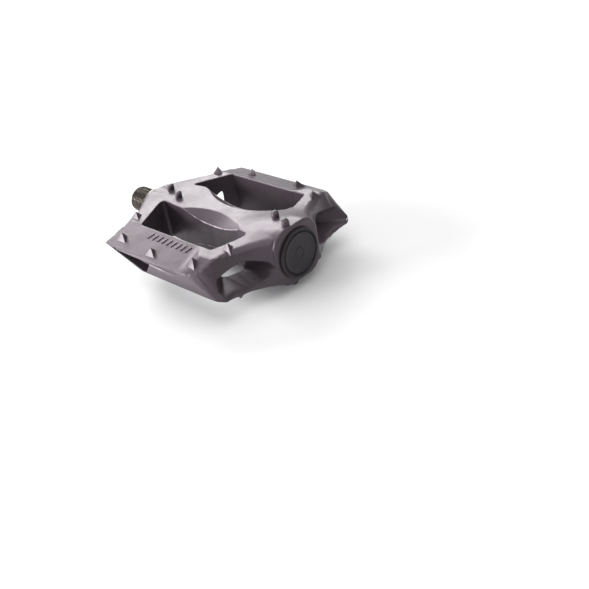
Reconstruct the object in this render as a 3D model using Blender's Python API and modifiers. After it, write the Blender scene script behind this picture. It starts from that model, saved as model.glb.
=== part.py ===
"""Left-hand flat bicycle pedal: a one-piece moulded platform turning on a steel axle with loose balls.

The parts are modelled about the axle's axis, with +X towards the end cap, +Y towards one rail and
+Z up, and then hang from an empty that lifts them so that the pedal stands on its lowest posts.
"""

import math

import bmesh
import bpy
from mathutils import Matrix, Vector

# ---------------------------------------------------------------- driving dimensions, in metres
AXLE_HEIGHT = 0.0190  # axle's axis above the surface that the pedal stands on
AXLE_SHIFT = 0.0180  # moves the pedal along X until its box is centred on the origin
GAP = 0.0003  # clearance between pieces that touch

# platform plan
HUB_INNER_X = -0.0620  # crank end of the hub
HUB_OUTER_X = 0.0435  # end-cap end of the hub
RAIL_Y = 0.0500  # outer face of each rail
RAIL_INNER_X = -0.0463  # rail ends
RAIL_OUTER_X = 0.0162
WINDOW_Y = 0.0330  # rail edge of each window
WINDOW_INNER_X = -0.0350
WINDOW_OUTER_X = 0.0193
SPINE_Y = 0.0102  # half width of the spine at its waist
WAIST_X = -0.0060
BLANK_DEPTH = 0.0400  # of the cutters that shape the plan

# platform heights above the axis
FACE_Z = 0.0110  # tread plateau
SLOPE_START_Y = 0.0360  # the rails fall away outside this line
SLOPE_DELAY = 0.0070  # and that much further out on the outboard arms
DELAY_START_X, DELAY_END_X = 0.0090, 0.0180
RAIL_EDGE_Z = 0.0054
MOUND_RISE = 0.0040  # swelling of the tread over the outboard bearing
MOUND_START_X, MOUND_END_X = 0.0020, 0.0360
MOUND_WIDTH = 0.0150
NOSE_DROP = 0.0006  # fall of the tread towards the crank
NOSE_START_X = -0.0480
PAD_Z = 0.0101  # flat pad beside the window
PAD_DEPTH = 0.0060  # of its cutter

# lean of the rails: each one's underside is set towards the end cap, (distance from the axle, shift)
OUTER_LEAN = ((0.0115, 0.0), (0.0190, 0.0055), (0.0350, 0.0070), (0.0400, 0.0085), (0.0500, 0.0178))
INNER_LEAN = ((0.0080, 0.0), (0.0165, 0.0017), (0.0310, 0.0075), (0.0400, 0.0156), (0.0500, 0.0250))
LEAN_START_X, LEAN_END_X = -0.0460, 0.0200
TUCK = 0.0020  # a rail's outer face is that much further in at its lower edge

# hub ends
BOSS_START_X = 0.0300
BOSS_HALF = 0.0152
BOSS_CORNER = 0.0090
NOSE_RADIUS = 0.0112
NOSE_END_X = -0.0500

# facets on the spine's shoulders, cut by cones
FACET_CENTRE_Y = 0.0490
FACET_TOP_RADIUS = 0.0447  # at the tread plateau
FACET_FOOT_RADIUS = 0.0388  # at FACET_FOOT_Z
FACET_FOOT_Z = 0.0066

# openings through the arms
# each corner as (its place on the window's wall, its place on the arm's outer face), for the +Y rail
OUTBOARD_OPENING = (
    ((0.0200, 0.0310, 0.0035), (0.0283, 0.0405, 0.0025)),
    ((0.0223, 0.0250, 0.0043), (0.0320, 0.0258, 0.0050)),
    ((0.0240, 0.0193, 0.0028), (0.0398, 0.0170, 0.0022)),
    ((0.0243, 0.0182, -0.0015), (0.0420, 0.0150, -0.0015)),
    ((0.0240, 0.0190, -0.0052), (0.0410, 0.0173, -0.0052)),
    ((0.0210, 0.0290, -0.0063), (0.0360, 0.0273, -0.0088)),
    ((0.0200, 0.0310, -0.0048), (0.0303, 0.0410, -0.0050)),
)
CRANK_OPENING = (
    ((-0.0420, 0.0201, 0.0020), (-0.0515, 0.0232, 0.0005)),
    ((-0.0396, 0.0245, 0.0042), (-0.0490, 0.0275, 0.0020)),
    ((-0.0372, 0.0289, 0.0020), (-0.0465, 0.0318, 0.0000)),
    ((-0.0372, 0.0289, -0.0025), (-0.0455, 0.0318, -0.0045)),
    ((-0.0396, 0.0245, -0.0048), (-0.0480, 0.0275, -0.0065)),
    ((-0.0420, 0.0201, -0.0025), (-0.0515, 0.0232, -0.0040)),
)
OPENING_OVERRUN = 0.40  # of the tunnel's length, past both of its ends

# studs
SPIKE_HEIGHT = 0.0035
SPIKE_RADIUS = 0.0039  # to a corner of the three-sided foot
STUD_SINK = 0.0012  # depth of a stud's foot inside the tread
POST_RADIUS = 0.0021
POST_HEIGHT = 0.0028  # of the round part, under the tip
POST_TIP = 0.0013

# bores along the hub
SHAFT_BORE = 0.0065
CUP_BORE = 0.0097
CAP_BORE = 0.0113
INNER_CUP_END_X = -0.0552
OUTER_CUP_START_X = 0.0235
CAP_SEAT_X = 0.0350

# axle
THREAD_RADIUS = 0.00714  # 9/16 inch
THREAD_ROOT = 0.0063
THREAD_PITCH = 0.00127  # 20 turns to the inch
THREAD_TURNS = 10
THREAD_END_X = -0.0810
NECK_RADIUS = THREAD_RADIUS + 0.00006  # plain part between the thread and the collar
NECK_LENGTH = 0.00040
COLLAR_RADIUS = 0.0084
COLLAR_START_X, COLLAR_END_X = -0.0677, -0.0626
FLAT_HALF = 0.0075  # 15 mm spanner
FLAT_START_X = -0.0660
SHAFT_RADIUS = 0.0048
RACE_RADIUS = 0.0063  # cone turned on the shaft beside the collar
SHAFT_TIP_RADIUS = 0.0045
END_THREAD_RADIUS = 0.0040
END_THREAD_X = 0.0250
AXLE_END_X = 0.0392

# bearings
BALL_RADIUS = 0.0015
INNER_BALLS, INNER_BALL_CIRCLE, INNER_BALL_X = 12, 0.0070, -0.0584
OUTER_BALLS, OUTER_BALL_CIRCLE, OUTER_BALL_X = 12, 0.0070, 0.0268
CUP_RADIUS = CUP_BORE - GAP
CUP_WALL = 0.0088
CUP_LIP = 0.0068

# end cap
CAP_FACE_X = 0.0450
CAP_RADIUS = 0.0130
CAP_RING = 0.0112

ROUND_STEPS = 28
TURN_STEPS = 24
MERGE = 0.00001


# ---------------------------------------------------------------- scene set-up
def clear_scene():
    for thing in list(bpy.data.objects):
        bpy.data.objects.remove(thing, do_unlink=True)


def new_collection(name):
    made = bpy.data.collections.new(name)
    bpy.context.scene.collection.children.link(made)
    return made


def plain_material(name, colour, roughness, metallic=0.0):
    made = bpy.data.materials.new(name)
    made.use_nodes = True
    shader = made.node_tree.nodes["Principled BSDF"]
    shader.inputs["Base Color"].default_value = (*colour, 1.0)
    shader.inputs["Roughness"].default_value = roughness
    shader.inputs["Metallic"].default_value = metallic
    return made


def add_object(name, mesh, collection, material=None):
    made = bpy.data.objects.new(name, mesh)
    collection.objects.link(made)
    if material:
        mesh.materials.append(material)
    return made


def mesh_from(bm, name):
    bmesh.ops.recalc_face_normals(bm, faces=bm.faces)
    mesh = bpy.data.meshes.new(name)
    bm.to_mesh(mesh)
    bm.free()
    return mesh


def add_cutter(name, mesh, place=None):
    made = add_object(name, mesh, CUTTERS)
    made.hide_render = True
    made.display_type = "WIRE"
    if place:
        made.matrix_world = place
    return made


def combine(target, operand, operation):
    step = target.modifiers.new(f"{operation} {operand.name}".lower(), "BOOLEAN")
    step.operation = operation
    step.object = operand


# ---------------------------------------------------------------- outlines
def rounded_outline(corners, step=math.radians(30)):
    """Points round a closed outline; each corner is (u, v, radius)."""
    points = []
    for index, (u, v, radius) in enumerate(corners):
        here = Vector((u, v))
        back = (Vector(corners[index - 1][:2]) - here).normalized()
        ahead = (Vector(corners[(index + 1) % len(corners)][:2]) - here).normalized()
        angle = back.angle(ahead)
        if radius <= 0 or angle > math.radians(178):
            points.append(here)
            continue
        reach = radius / math.tan(angle / 2)
        centre = here + (back + ahead).normalized() * (radius / math.sin(angle / 2))
        start = here + back * reach - centre
        turn = start.angle_signed(here + ahead * reach - centre)
        count = max(1, round(abs(turn) / step))
        for stop in range(count + 1):
            points.append(centre + Matrix.Rotation(-turn * stop / count, 2) @ start)
    return [(point.x, point.y) for point in points]


def bezier_points(start, control, end, count):
    """Points along a quadratic curve, without its last one."""
    found = []
    for stop in range(count):
        t = stop / count
        u = (1 - t) ** 2 * start[0] + 2 * t * (1 - t) * control[0] + t * t * end[0]
        v = (1 - t) ** 2 * start[1] + 2 * t * (1 - t) * control[1] + t * t * end[1]
        found.append((u, v, 0))
    return found


def prism_mesh(name, outline, thickness):
    """A flat outline made solid: a filled 2D curve, extruded both ways from its plane."""
    curve = bpy.data.curves.new(name, "CURVE")
    curve.dimensions = "2D"
    curve.fill_mode = "BOTH"
    curve.extrude = thickness / 2
    line = curve.splines.new("POLY")
    line.points.add(len(outline) - 1)
    for point, (u, v) in zip(line.points, outline):
        point.co = (u, v, 0, 1)
    line.use_cyclic_u = True
    guide = bpy.data.objects.new(name, curve)
    CUTTERS.objects.link(guide)
    graph = bpy.context.evaluated_depsgraph_get()
    mesh = bpy.data.meshes.new_from_object(guide.evaluated_get(graph))
    bpy.data.objects.remove(guide, do_unlink=True)
    bm = bmesh.new()
    bm.from_mesh(mesh)
    bpy.data.meshes.remove(mesh)
    bmesh.ops.remove_doubles(bm, verts=bm.verts, dist=MERGE)
    return mesh_from(bm, name)


def along_axle(x=0.0):
    """Stands a shape drawn in its own XY plane across the axle: u to +Y, v to +Z, depth to +X."""
    return Matrix.Translation((x, 0, 0)) @ Matrix(((0, 0, 1, 0), (1, 0, 0, 0), (0, 1, 0, 0), (0, 0, 0, 1)))


# ---------------------------------------------------------------- turned pieces
def turned_object(name, profile, collection, material=None, steps=TURN_STEPS):
    """A profile of (distance along the axle, radius) points, turned about the axle."""
    area = sum(
        profile[i - 1][0] * profile[i][1] - profile[i][0] * profile[i - 1][1] for i in range(len(profile))
    )
    ordered = profile if area > 0 else profile[::-1]
    hollow = min(radius for _, radius in profile) > MERGE
    if not hollow:
        first = next(i for i, p in enumerate(ordered) if p[1] < MERGE and ordered[i - 1][1] < MERGE)
        ordered = ordered[first:] + ordered[:first]
    bm = bmesh.new()
    ring = [bm.verts.new((radius, 0, along)) for along, radius in ordered]
    for one, two in zip(ring, ring[1:]):
        bm.edges.new((one, two))
    if hollow:
        bm.edges.new((ring[-1], ring[0]))
    mesh = bpy.data.meshes.new(name)
    bm.to_mesh(mesh)
    bm.free()
    made = add_object(name, mesh, collection, material)
    made.rotation_euler = (0, math.pi / 2, 0)
    screw = made.modifiers.new("turn", "SCREW")
    screw.axis = "Z"
    screw.steps = steps
    screw.render_steps = steps
    screw.use_merge_vertices = True
    screw.merge_threshold = MERGE
    screw.use_smooth_shade = True
    return made


def box_mesh(name, low, high):
    bm = bmesh.new()
    bmesh.ops.create_cube(bm, size=1.0)
    middle = (Vector(low) + Vector(high)) / 2
    size = Vector(high) - Vector(low)
    bmesh.ops.scale(bm, vec=size, verts=bm.verts)
    bmesh.ops.translate(bm, vec=middle, verts=bm.verts)
    return mesh_from(bm, name)


# ---------------------------------------------------------------- platform
def smooth_step(value):
    held = min(max(value, 0.0), 1.0)
    return held * held * (3 - 2 * held)


def tread_height(x, y):
    """Height of the tread above the axis; the underside is its mirror image."""
    delay = smooth_step((x - DELAY_START_X) / (DELAY_END_X - DELAY_START_X))
    slope_start = SLOPE_START_Y + SLOPE_DELAY * delay
    height = FACE_Z - (FACE_Z - RAIL_EDGE_Z) * max(abs(y) - slope_start, 0.0) / (RAIL_Y - slope_start)
    swell = smooth_step((x - MOUND_START_X) / (MOUND_END_X - MOUND_START_X))
    height += MOUND_RISE * swell * math.exp(-((y / MOUND_WIDTH) ** 2))
    height -= NOSE_DROP * smooth_step((NOSE_START_X - x) / (NOSE_START_X - HUB_INNER_X))
    return height


def step_through(stations, value):
    """Reads a list of (place, amount) stations at a place between them."""
    if value <= stations[0][0]:
        return stations[0][1]
    for (low, start), (high, end) in zip(stations, stations[1:]):
        if value <= high:
            return start + (end - start) * (value - low) / (high - low)
    return stations[-1][1]


def lean_shift(x, y):
    """How far the underside lies towards the end cap from the same point of the tread."""
    blend = min(max((x - LEAN_START_X) / (LEAN_END_X - LEAN_START_X), 0.0), 1.0)
    inner, outer = step_through(INNER_LEAN, abs(y)), step_through(OUTER_LEAN, abs(y))
    return inner + (outer - inner) * blend


def lean(point):
    """Moves a point of the upright platform to its place on the leaning one."""
    top = tread_height(point.x, point.y)
    depth = max(top - point.z, 0.0) / (2 * top)
    tuck = TUCK * min(max((abs(point.y) - SLOPE_START_Y) / (RAIL_Y - SLOPE_START_Y), 0.0), 1.0)
    shift = Vector((lean_shift(point.x, point.y), -math.copysign(tuck, point.y), 0)) * depth
    return point + shift


def crowned_slab():
    """A slab whose two faces follow the tread, larger in plan than the platform."""
    margin = 0.0030
    x_cells, y_cells = 14, 16
    x_low, x_high = HUB_INNER_X - margin, HUB_OUTER_X + margin
    half = [0.0, 0.005, 0.010, 0.015, 0.020, 0.028, SLOPE_START_Y, 0.043, RAIL_Y + margin]
    stations = [-value for value in reversed(half[1:])] + half
    bm = bmesh.new()
    bmesh.ops.create_grid(bm, x_segments=x_cells, y_segments=y_cells, size=1.0)
    for vert in bm.verts:
        vert.co.x = x_low + (vert.co.x + 1) / 2 * (x_high - x_low)
        vert.co.y = stations[round((vert.co.y + 1) / 2 * y_cells)]
        vert.co.z = -tread_height(vert.co.x, vert.co.y)
    raised = bmesh.ops.extrude_face_region(bm, geom=bm.faces[:])
    for item in raised["geom"]:
        if isinstance(item, bmesh.types.BMVert):
            item.co.z = tread_height(item.co.x, item.co.y)
    return mesh_from(bm, "platform_body")


def platform_outline():
    """Plan of the tread: a long hub, arms that spread to the rails, and hollow outboard sides."""
    side = bezier_points((HUB_OUTER_X, 0.0115), (0.0270, 0.0272), (0.0245, 0.0400), 6)
    side += [
        (0.0245, 0.0400, 0),
        (0.0218, 0.0460, 0.0060),
        (RAIL_OUTER_X, RAIL_Y, 0.0010),
        (RAIL_INNER_X, RAIL_Y, 0.0010),
        (-0.0470, 0.0310, 0.0150),
        (-0.0555, 0.0165, 0.0150),
        (HUB_INNER_X, 0.0080, 0.0030),
    ]
    other = [(x, -y, radius) for x, y, radius in reversed(side)]
    return rounded_outline(side + other)


def window_corners(rear):
    """Corners of a window, for the rail on +Y; the crank end differs between the two windows."""
    corners = [
        (WINDOW_INNER_X, WINDOW_Y, 0.0008),
        (WINDOW_OUTER_X, WINDOW_Y, 0.0008),
        (0.0252, 0.0172, 0.0025),
        (0.0150, 0.0122, 0.0120),
        (WAIST_X, SPINE_Y, 0.0300),
    ]
    if rear:
        corners += [(-0.0270, 0.0112, 0.0200), (-0.0370, 0.0143, 0.0060), (-0.0462, 0.0128, 0.0010)]
    else:
        corners += [(-0.0310, 0.0097, 0.0200), (-0.0466, 0.0082, 0.0020), (-0.0450, 0.0135, 0.0040)]
    return corners


def window_outline(rear):
    corners = window_corners(rear)
    if not rear:
        corners = [(x, -y, radius) for x, y, radius in corners]
    return rounded_outline(corners)


def facet_cutters():
    """Four cones, each trimmed to its own window, that slope the shoulders of the spine."""
    slope = (FACET_TOP_RADIUS - FACET_FOOT_RADIUS) / (FACE_Z - FACET_FOOT_Z)
    low, high = 0.0020, 0.0180
    middle = (low + high) / 2
    for side in (1, -1):
        for face in (1, -1):
            bm = bmesh.new()
            bmesh.ops.create_cone(
                bm,
                cap_ends=True,
                segments=96,
                radius1=FACET_FOOT_RADIUS + slope * (low - FACET_FOOT_Z),
                radius2=FACET_FOOT_RADIUS + slope * (high - FACET_FOOT_Z),
                depth=high - low,
            )
            turn = Matrix.Identity(4) if face > 0 else Matrix.Rotation(math.pi, 4, "X")
            place = Matrix.Translation((WAIST_X, side * FACET_CENTRE_Y, face * middle)) @ turn
            bm.transform(place)
            name = f"facet_{'rear' if side > 0 else 'front'}_{'top' if face > 0 else 'bottom'}"
            cone = add_cutter(f"{name}_cone", mesh_from(bm, name))
            near, far = sorted((side * 0.0005, side * 0.0230))
            trim = box_mesh(f"{name}_trim", (-0.045, near, -0.02), (0.035, far, 0.02))
            keep = add_cutter(f"{name}_trim", trim)
            combine(cone, keep, "INTERSECT")
            yield cone


def arm_opening(name, corners, side):
    """A tunnel through an arm, whose corners run straight from the window to the outer face."""
    bm = bmesh.new()
    inner, outer = [], []
    for near, far in corners:
        start, end = (Vector((x, side * y, z)) for x, y, z in (near, far))
        over = (end - start) * OPENING_OVERRUN
        inner.append(bm.verts.new(start - over))
        outer.append(bm.verts.new(end + over))
    bm.faces.new(inner)
    bm.faces.new(outer)
    for index in range(len(corners)):
        bm.faces.new((inner[index - 1], inner[index], outer[index], outer[index - 1]))
    bmesh.ops.triangulate(bm, faces=bm.faces)
    return add_cutter(name, mesh_from(bm, name))


def arm_openings():
    for side, word in ((1, "rear"), (-1, "front")):
        yield arm_opening(f"outboard_{word}_opening", OUTBOARD_OPENING, side)
        yield arm_opening(f"crank_{word}_opening", CRANK_OPENING, side)


def rail_pocket(side):
    """A three-cornered pocket in a rail's outer face, near the crank."""
    corners = [(-0.0375, 0.0030, 0), (-0.0195, -0.0043, 0.0005), (-0.0155, -0.0028, 0.0005)]
    outline = rounded_outline(corners + [(-0.0115, 0.0025, 0)])
    name = f"pocket_{'rear' if side > 0 else 'front'}"
    mesh = prism_mesh(name, outline, 0.0060)
    turn = Matrix.Rotation(math.pi / 2, 4, "X")
    return add_cutter(name, mesh, Matrix.Translation((0, side * RAIL_Y, 0)) @ turn)


def tread_pad():
    """The level pad beside the window of the tread's front rail."""
    corners = [
        (-0.0362, -0.0300, 0),
        (-0.0308, -0.0410, 0.0005),
        (0.0120, -0.0410, 0.0040),
        (0.0175, -0.0300, 0),
    ]
    mesh = prism_mesh("tread_pad", rounded_outline(corners), PAD_DEPTH)
    return add_cutter("tread_pad", mesh, Matrix.Translation((0, 0, PAD_Z + PAD_DEPTH / 2)))


def hub_bore():
    """The stepped bore: inboard cup, shaft, outboard cup and end cap."""
    over = 0.0020
    steps = [
        (HUB_INNER_X - over, 0.0),
        (HUB_INNER_X - over, CUP_BORE),
        (INNER_CUP_END_X, CUP_BORE),
        (INNER_CUP_END_X, SHAFT_BORE),
        (OUTER_CUP_START_X, SHAFT_BORE),
        (OUTER_CUP_START_X, CUP_BORE),
        (CAP_SEAT_X, CUP_BORE),
        (CAP_SEAT_X, CAP_BORE),
        (HUB_OUTER_X + over, CAP_BORE),
        (HUB_OUTER_X + over, 0.0),
    ]
    made = turned_object("hub_bore", steps, CUTTERS, steps=ROUND_STEPS)
    made.hide_render = True
    made.display_type = "WIRE"
    return made


def both_sides(studs):
    """The same studs again, mirrored across the axle."""
    return [(x, side * y, turn * side) for x, y, turn in studs for side in (1, -1)]


def tread_spikes():
    """Spikes of the tread as (x, y, turn in degrees)."""
    spikes = both_sides([(-0.0430, 0.0302, 20), (0.0268, 0.0300, -10)])
    spikes += [(-0.0395, -0.0425, 80), (-0.0120, -0.0448, 35), (0.0168, -0.0432, -25)]
    spikes += [(-0.0285, 0.0418, 50), (0.0040, 0.0432, -40)]
    return spikes


def underside_spikes():
    """The same for the underside, before it leans."""
    spikes = both_sides([(-0.0475, 0.0220, 20), (0.0235, 0.0300, -10)])
    spikes += [(-0.0395, 0.0425, 80), (-0.0120, 0.0435, 35), (0.0150, 0.0425, -25)]
    spikes += [(-0.0285, -0.0415, 50), (0.0040, -0.0430, -40)]
    return spikes


def tread_posts():
    return [(-0.0525, 0.0022), (-0.0408, -0.0022), (0.0286, 0.0022), (0.0398, -0.0022)]


def add_spike(bm, x, y, turn):
    """A three-sided pyramid on the tread."""
    foot = tread_height(x, y) - STUD_SINK
    height = SPIKE_HEIGHT + STUD_SINK
    foot_radius = SPIKE_RADIUS * height / SPIKE_HEIGHT
    made = bmesh.ops.create_cone(
        bm, cap_ends=True, segments=3, radius1=foot_radius, radius2=0.0, depth=height
    )
    place = Matrix.Translation((x, y, foot + height / 2)) @ Matrix.Rotation(math.radians(turn), 4, "Z")
    bmesh.ops.transform(bm, matrix=place, verts=made["verts"])
    return made["verts"]


def add_post(bm, x, y):
    """A round post whose tip is off to one side."""
    foot = tread_height(x, y) - STUD_SINK
    height = POST_HEIGHT + STUD_SINK
    before = set(bm.verts)
    bmesh.ops.create_cone(
        bm, cap_ends=True, segments=12, radius1=POST_RADIUS, radius2=POST_RADIUS, depth=height
    )
    shaft = [vert for vert in bm.verts if vert not in before]
    bmesh.ops.translate(bm, vec=(x, y, foot + height / 2), verts=shaft)
    top = [face for face in shaft[0].link_faces if len(face.verts) == 12]
    top += [face for face in shaft[-1].link_faces if len(face.verts) == 12]
    top = max(top, key=lambda face: face.calc_center_median().z)
    tip = bmesh.ops.poke(bm, faces=[top])["verts"][0]
    tip.co += Vector((POST_RADIUS * 0.45, POST_RADIUS * 0.25, POST_TIP))
    return shaft + [tip]


def turn_under(verts, x, y):
    """Turns a stud upside down, then leans it with the underside."""
    foot = Vector((x, y, -tread_height(x, y)))
    shift = lean(foot) - foot
    for vert in verts:
        vert.co = Vector((vert.co.x, vert.co.y, -vert.co.z)) + shift


def studs_mesh():
    bm = bmesh.new()
    for spikes, below in ((tread_spikes(), False), (underside_spikes(), True)):
        studs = [(add_spike(bm, *spike), spike[:2]) for spike in spikes]
        studs += [(add_post(bm, *post), post) for post in tread_posts()]
        for verts, (x, y) in studs:
            if below:
                turn_under(verts, x, y)
    return mesh_from(bm, "studs")


def leaning_blank():
    """The crowned slab cut to its plan while upright, then leaned."""
    upright = add_cutter("upright_blank", crowned_slab())
    plan = add_cutter("platform_plan", prism_mesh("platform_plan", platform_outline(), BLANK_DEPTH))
    combine(upright, plan, "INTERSECT")
    graph = bpy.context.evaluated_depsgraph_get()
    mesh = bpy.data.meshes.new_from_object(upright.evaluated_get(graph))
    bm = bmesh.new()
    bm.from_mesh(mesh)
    bpy.data.meshes.remove(mesh)
    bmesh.ops.triangulate(bm, faces=bm.faces)
    for vert in bm.verts:
        vert.co = lean(vert.co)
    return mesh_from(bm, "platform_body")


def make_platform():
    body = add_object("platform_body", leaning_blank(), PARTS, PLASTIC)
    corners = [(a * BOSS_HALF, b * BOSS_HALF, BOSS_CORNER) for a, b in ((-1, -1), (1, -1), (1, 1), (-1, 1))]
    length = HUB_OUTER_X - BOSS_START_X
    boss_mesh = prism_mesh("cap_boss", rounded_outline(corners, math.radians(15)), length)
    boss = add_cutter("cap_boss", boss_mesh, along_axle((HUB_OUTER_X + BOSS_START_X) / 2))
    combine(body, boss, "UNION")
    nose_profile = [
        (HUB_INNER_X, 0.0),
        (HUB_INNER_X, NOSE_RADIUS - 0.0008),
        (HUB_INNER_X + 0.0008, NOSE_RADIUS),
        (NOSE_END_X, NOSE_RADIUS),
        (NOSE_END_X, 0.0),
    ]
    nose = turned_object("crank_nose", nose_profile, CUTTERS, steps=ROUND_STEPS)
    nose.hide_render = True
    nose.display_type = "WIRE"
    combine(body, nose, "UNION")
    for rear in (True, False):
        word = "rear" if rear else "front"
        mesh = prism_mesh(f"{word}_window", window_outline(rear), BLANK_DEPTH)
        combine(body, add_cutter(f"{word}_window", mesh), "DIFFERENCE")
    for cutter in facet_cutters():
        combine(body, cutter, "DIFFERENCE")
    for side in (1, -1):
        combine(body, rail_pocket(side), "DIFFERENCE")
    combine(body, tread_pad(), "DIFFERENCE")
    for cutter in arm_openings():
        combine(body, cutter, "DIFFERENCE")
    combine(body, hub_bore(), "DIFFERENCE")
    combine(body, add_cutter("studs", studs_mesh()), "UNION")
    return body


# ---------------------------------------------------------------- axle and its bearings
def thread_profile():
    """Crests and roots of the crank thread, from its end towards the collar."""
    points = []
    for turn in range(THREAD_TURNS):
        start = THREAD_END_X + 0.0006 + turn * THREAD_PITCH
        points += [
            (start, THREAD_ROOT),
            (start + THREAD_PITCH * 0.42, THREAD_RADIUS),
            (start + THREAD_PITCH * 0.58, THREAD_RADIUS),
        ]
    return points


def make_spindle():
    profile = [(THREAD_END_X + 0.0020, 0.0), (THREAD_END_X + 0.0020, 0.0008), (THREAD_END_X, 0.0020)]
    profile += [(THREAD_END_X, THREAD_ROOT - 0.0004)]
    profile += thread_profile()
    profile += [
        (COLLAR_START_X - NECK_LENGTH, NECK_RADIUS),
        (COLLAR_START_X, NECK_RADIUS),
        (COLLAR_START_X, COLLAR_RADIUS),
        (COLLAR_END_X, COLLAR_RADIUS),
        (COLLAR_END_X, RACE_RADIUS),
        (INNER_BALL_X - 0.0022, RACE_RADIUS),
        (INNER_BALL_X + 0.0008, SHAFT_RADIUS),
        (END_THREAD_X - 0.0060, SHAFT_TIP_RADIUS),
        (END_THREAD_X, SHAFT_TIP_RADIUS),
        (END_THREAD_X, END_THREAD_RADIUS),
        (AXLE_END_X - 0.0006, END_THREAD_RADIUS),
        (AXLE_END_X, END_THREAD_RADIUS - 0.0006),
        (AXLE_END_X, 0.0),
    ]
    spindle = turned_object("spindle", profile, PARTS, STEEL)
    for side, word in ((1, "upper"), (-1, "lower")):
        near, far = sorted((side * FLAT_HALF, side * 0.0100))
        flat = box_mesh(f"{word}_flat", (FLAT_START_X, -0.0100, near), (COLLAR_END_X + 0.001, 0.0100, far))
        combine(spindle, add_cutter(f"{word}_flat", flat), "DIFFERENCE")
    return spindle


def make_cups():
    """Pressed bearing cups; each has its floor on the far side of the balls from its own end."""
    for name, ball_x, inward in (("inboard_cup", INNER_BALL_X, 1), ("outboard_cup", OUTER_BALL_X, -1)):
        profile = [
            (ball_x - inward * 0.0018, CUP_RADIUS),
            (ball_x - inward * 0.0018, CUP_WALL),
            (ball_x + inward * 0.0008, CUP_WALL),
            (ball_x + inward * 0.0019, CUP_LIP + 0.0010),
            (ball_x + inward * 0.0019, CUP_LIP),
            (ball_x + inward * 0.0029, CUP_LIP),
            (ball_x + inward * 0.0029, CUP_RADIUS),
        ]
        turned_object(name, profile, PARTS, CUP_STEEL)


def make_balls():
    rings = (
        ("inboard_ball", INNER_BALLS, INNER_BALL_CIRCLE, INNER_BALL_X),
        ("outboard_ball", OUTER_BALLS, OUTER_BALL_CIRCLE, OUTER_BALL_X),
    )
    bm = bmesh.new()
    bmesh.ops.create_uvsphere(bm, u_segments=10, v_segments=6, radius=BALL_RADIUS)
    ball = mesh_from(bm, "ball")
    ball.materials.append(BALL_STEEL)
    ball.shade_smooth()
    for name, count, circle, x in rings:
        for index in range(count):
            angle = 2 * math.pi * index / count
            made = add_object(f"{name}_{index + 1}", ball, PARTS)
            made.location = (x, circle * math.cos(angle), circle * math.sin(angle))


def make_seal():
    start, end = HUB_INNER_X - 0.0002, INNER_BALL_X - 0.0021
    profile = [
        (start, CUP_RADIUS),
        (start, 0.0078),
        (start + 0.0008, 0.0069),
        (end, 0.0069),
        (end, CUP_RADIUS),
    ]
    turned_object("inboard_seal", profile, PARTS, RUBBER)


def make_cone():
    """The adjusting cone: a race that faces the balls, with a six-sided head."""
    race, head, end = OUTER_BALL_X, 0.0293, 0.0322
    bore = END_THREAD_RADIUS + GAP
    profile = [
        (race - 0.0010, bore),
        (race - 0.0010, bore + 0.0003),
        (race + 0.0016, 0.0060),
        (head, 0.0064),
        (head, 0.0075),
        (end, 0.0075),
        (end, bore),
    ]
    cone = turned_object("adjusting_cone", profile, PARTS, STEEL)
    combine(cone, hexagon_keep("cone_hexagon", 0.0130, 0.0200, end, 0.0), "INTERSECT")


def hexagon_keep(name, across, length, end, turn):
    """A six-sided bar along the axle that trims a turned blank to a hexagon."""
    bm = bmesh.new()
    corner = across / math.sqrt(3)
    bmesh.ops.create_cone(bm, cap_ends=True, segments=6, radius1=corner, radius2=corner, depth=length)
    bmesh.ops.rotate(bm, matrix=Matrix.Rotation(turn, 3, "Z"), verts=bm.verts)
    place = Matrix.Translation((end + 0.001 - length / 2, 0, 0)) @ Matrix.Rotation(math.pi / 2, 4, "Y")
    return add_cutter(name, mesh_from(bm, name), place)


def make_lock_washer():
    start, end = 0.0325, 0.0335
    bore = END_THREAD_RADIUS + GAP
    profile = [(start, bore), (start, 0.0068), (end, 0.0068), (end, bore)]
    turned_object("lock_washer", profile, PARTS, BALL_STEEL)


def make_lock_nut():
    start, end = 0.0338, 0.0378
    bore = END_THREAD_RADIUS + GAP
    crown = 0.0005
    profile = [
        (start, bore),
        (start, 0.0062),
        (start + crown, 0.0071),
        (end - crown, 0.0071),
        (end, 0.0062),
        (end, bore),
    ]
    nut = turned_object("lock_nut", profile, PARTS, BALL_STEEL)
    combine(nut, hexagon_keep("nut_hexagon", 0.0120, 0.0200, end, math.radians(12)), "INTERSECT")


def make_end_cap():
    """A pressed-in cap: flange with a ring groove, plug wall and a hollow behind its face."""
    flange_x = HUB_OUTER_X + GAP
    plug, hollow = CAP_BORE - GAP, 0.0098
    profile = [
        (CAP_FACE_X, 0.0),
        (CAP_FACE_X, CAP_RING - 0.0007),
        (CAP_FACE_X - 0.0004, CAP_RING - 0.0004),
        (CAP_FACE_X - 0.0004, CAP_RING),
        (CAP_FACE_X, CAP_RING + 0.0003),
        (CAP_FACE_X, CAP_RADIUS - 0.0004),
        (CAP_FACE_X - 0.0004, CAP_RADIUS),
        (flange_x, CAP_RADIUS),
        (flange_x, plug),
        (CAP_SEAT_X + GAP, plug),
        (CAP_SEAT_X + GAP, hollow),
        (flange_x - 0.0006, hollow),
        (flange_x - 0.0006, 0.0),
    ]
    turned_object("end_cap", profile, PARTS, PLASTIC_CAP, steps=ROUND_STEPS)


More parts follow.
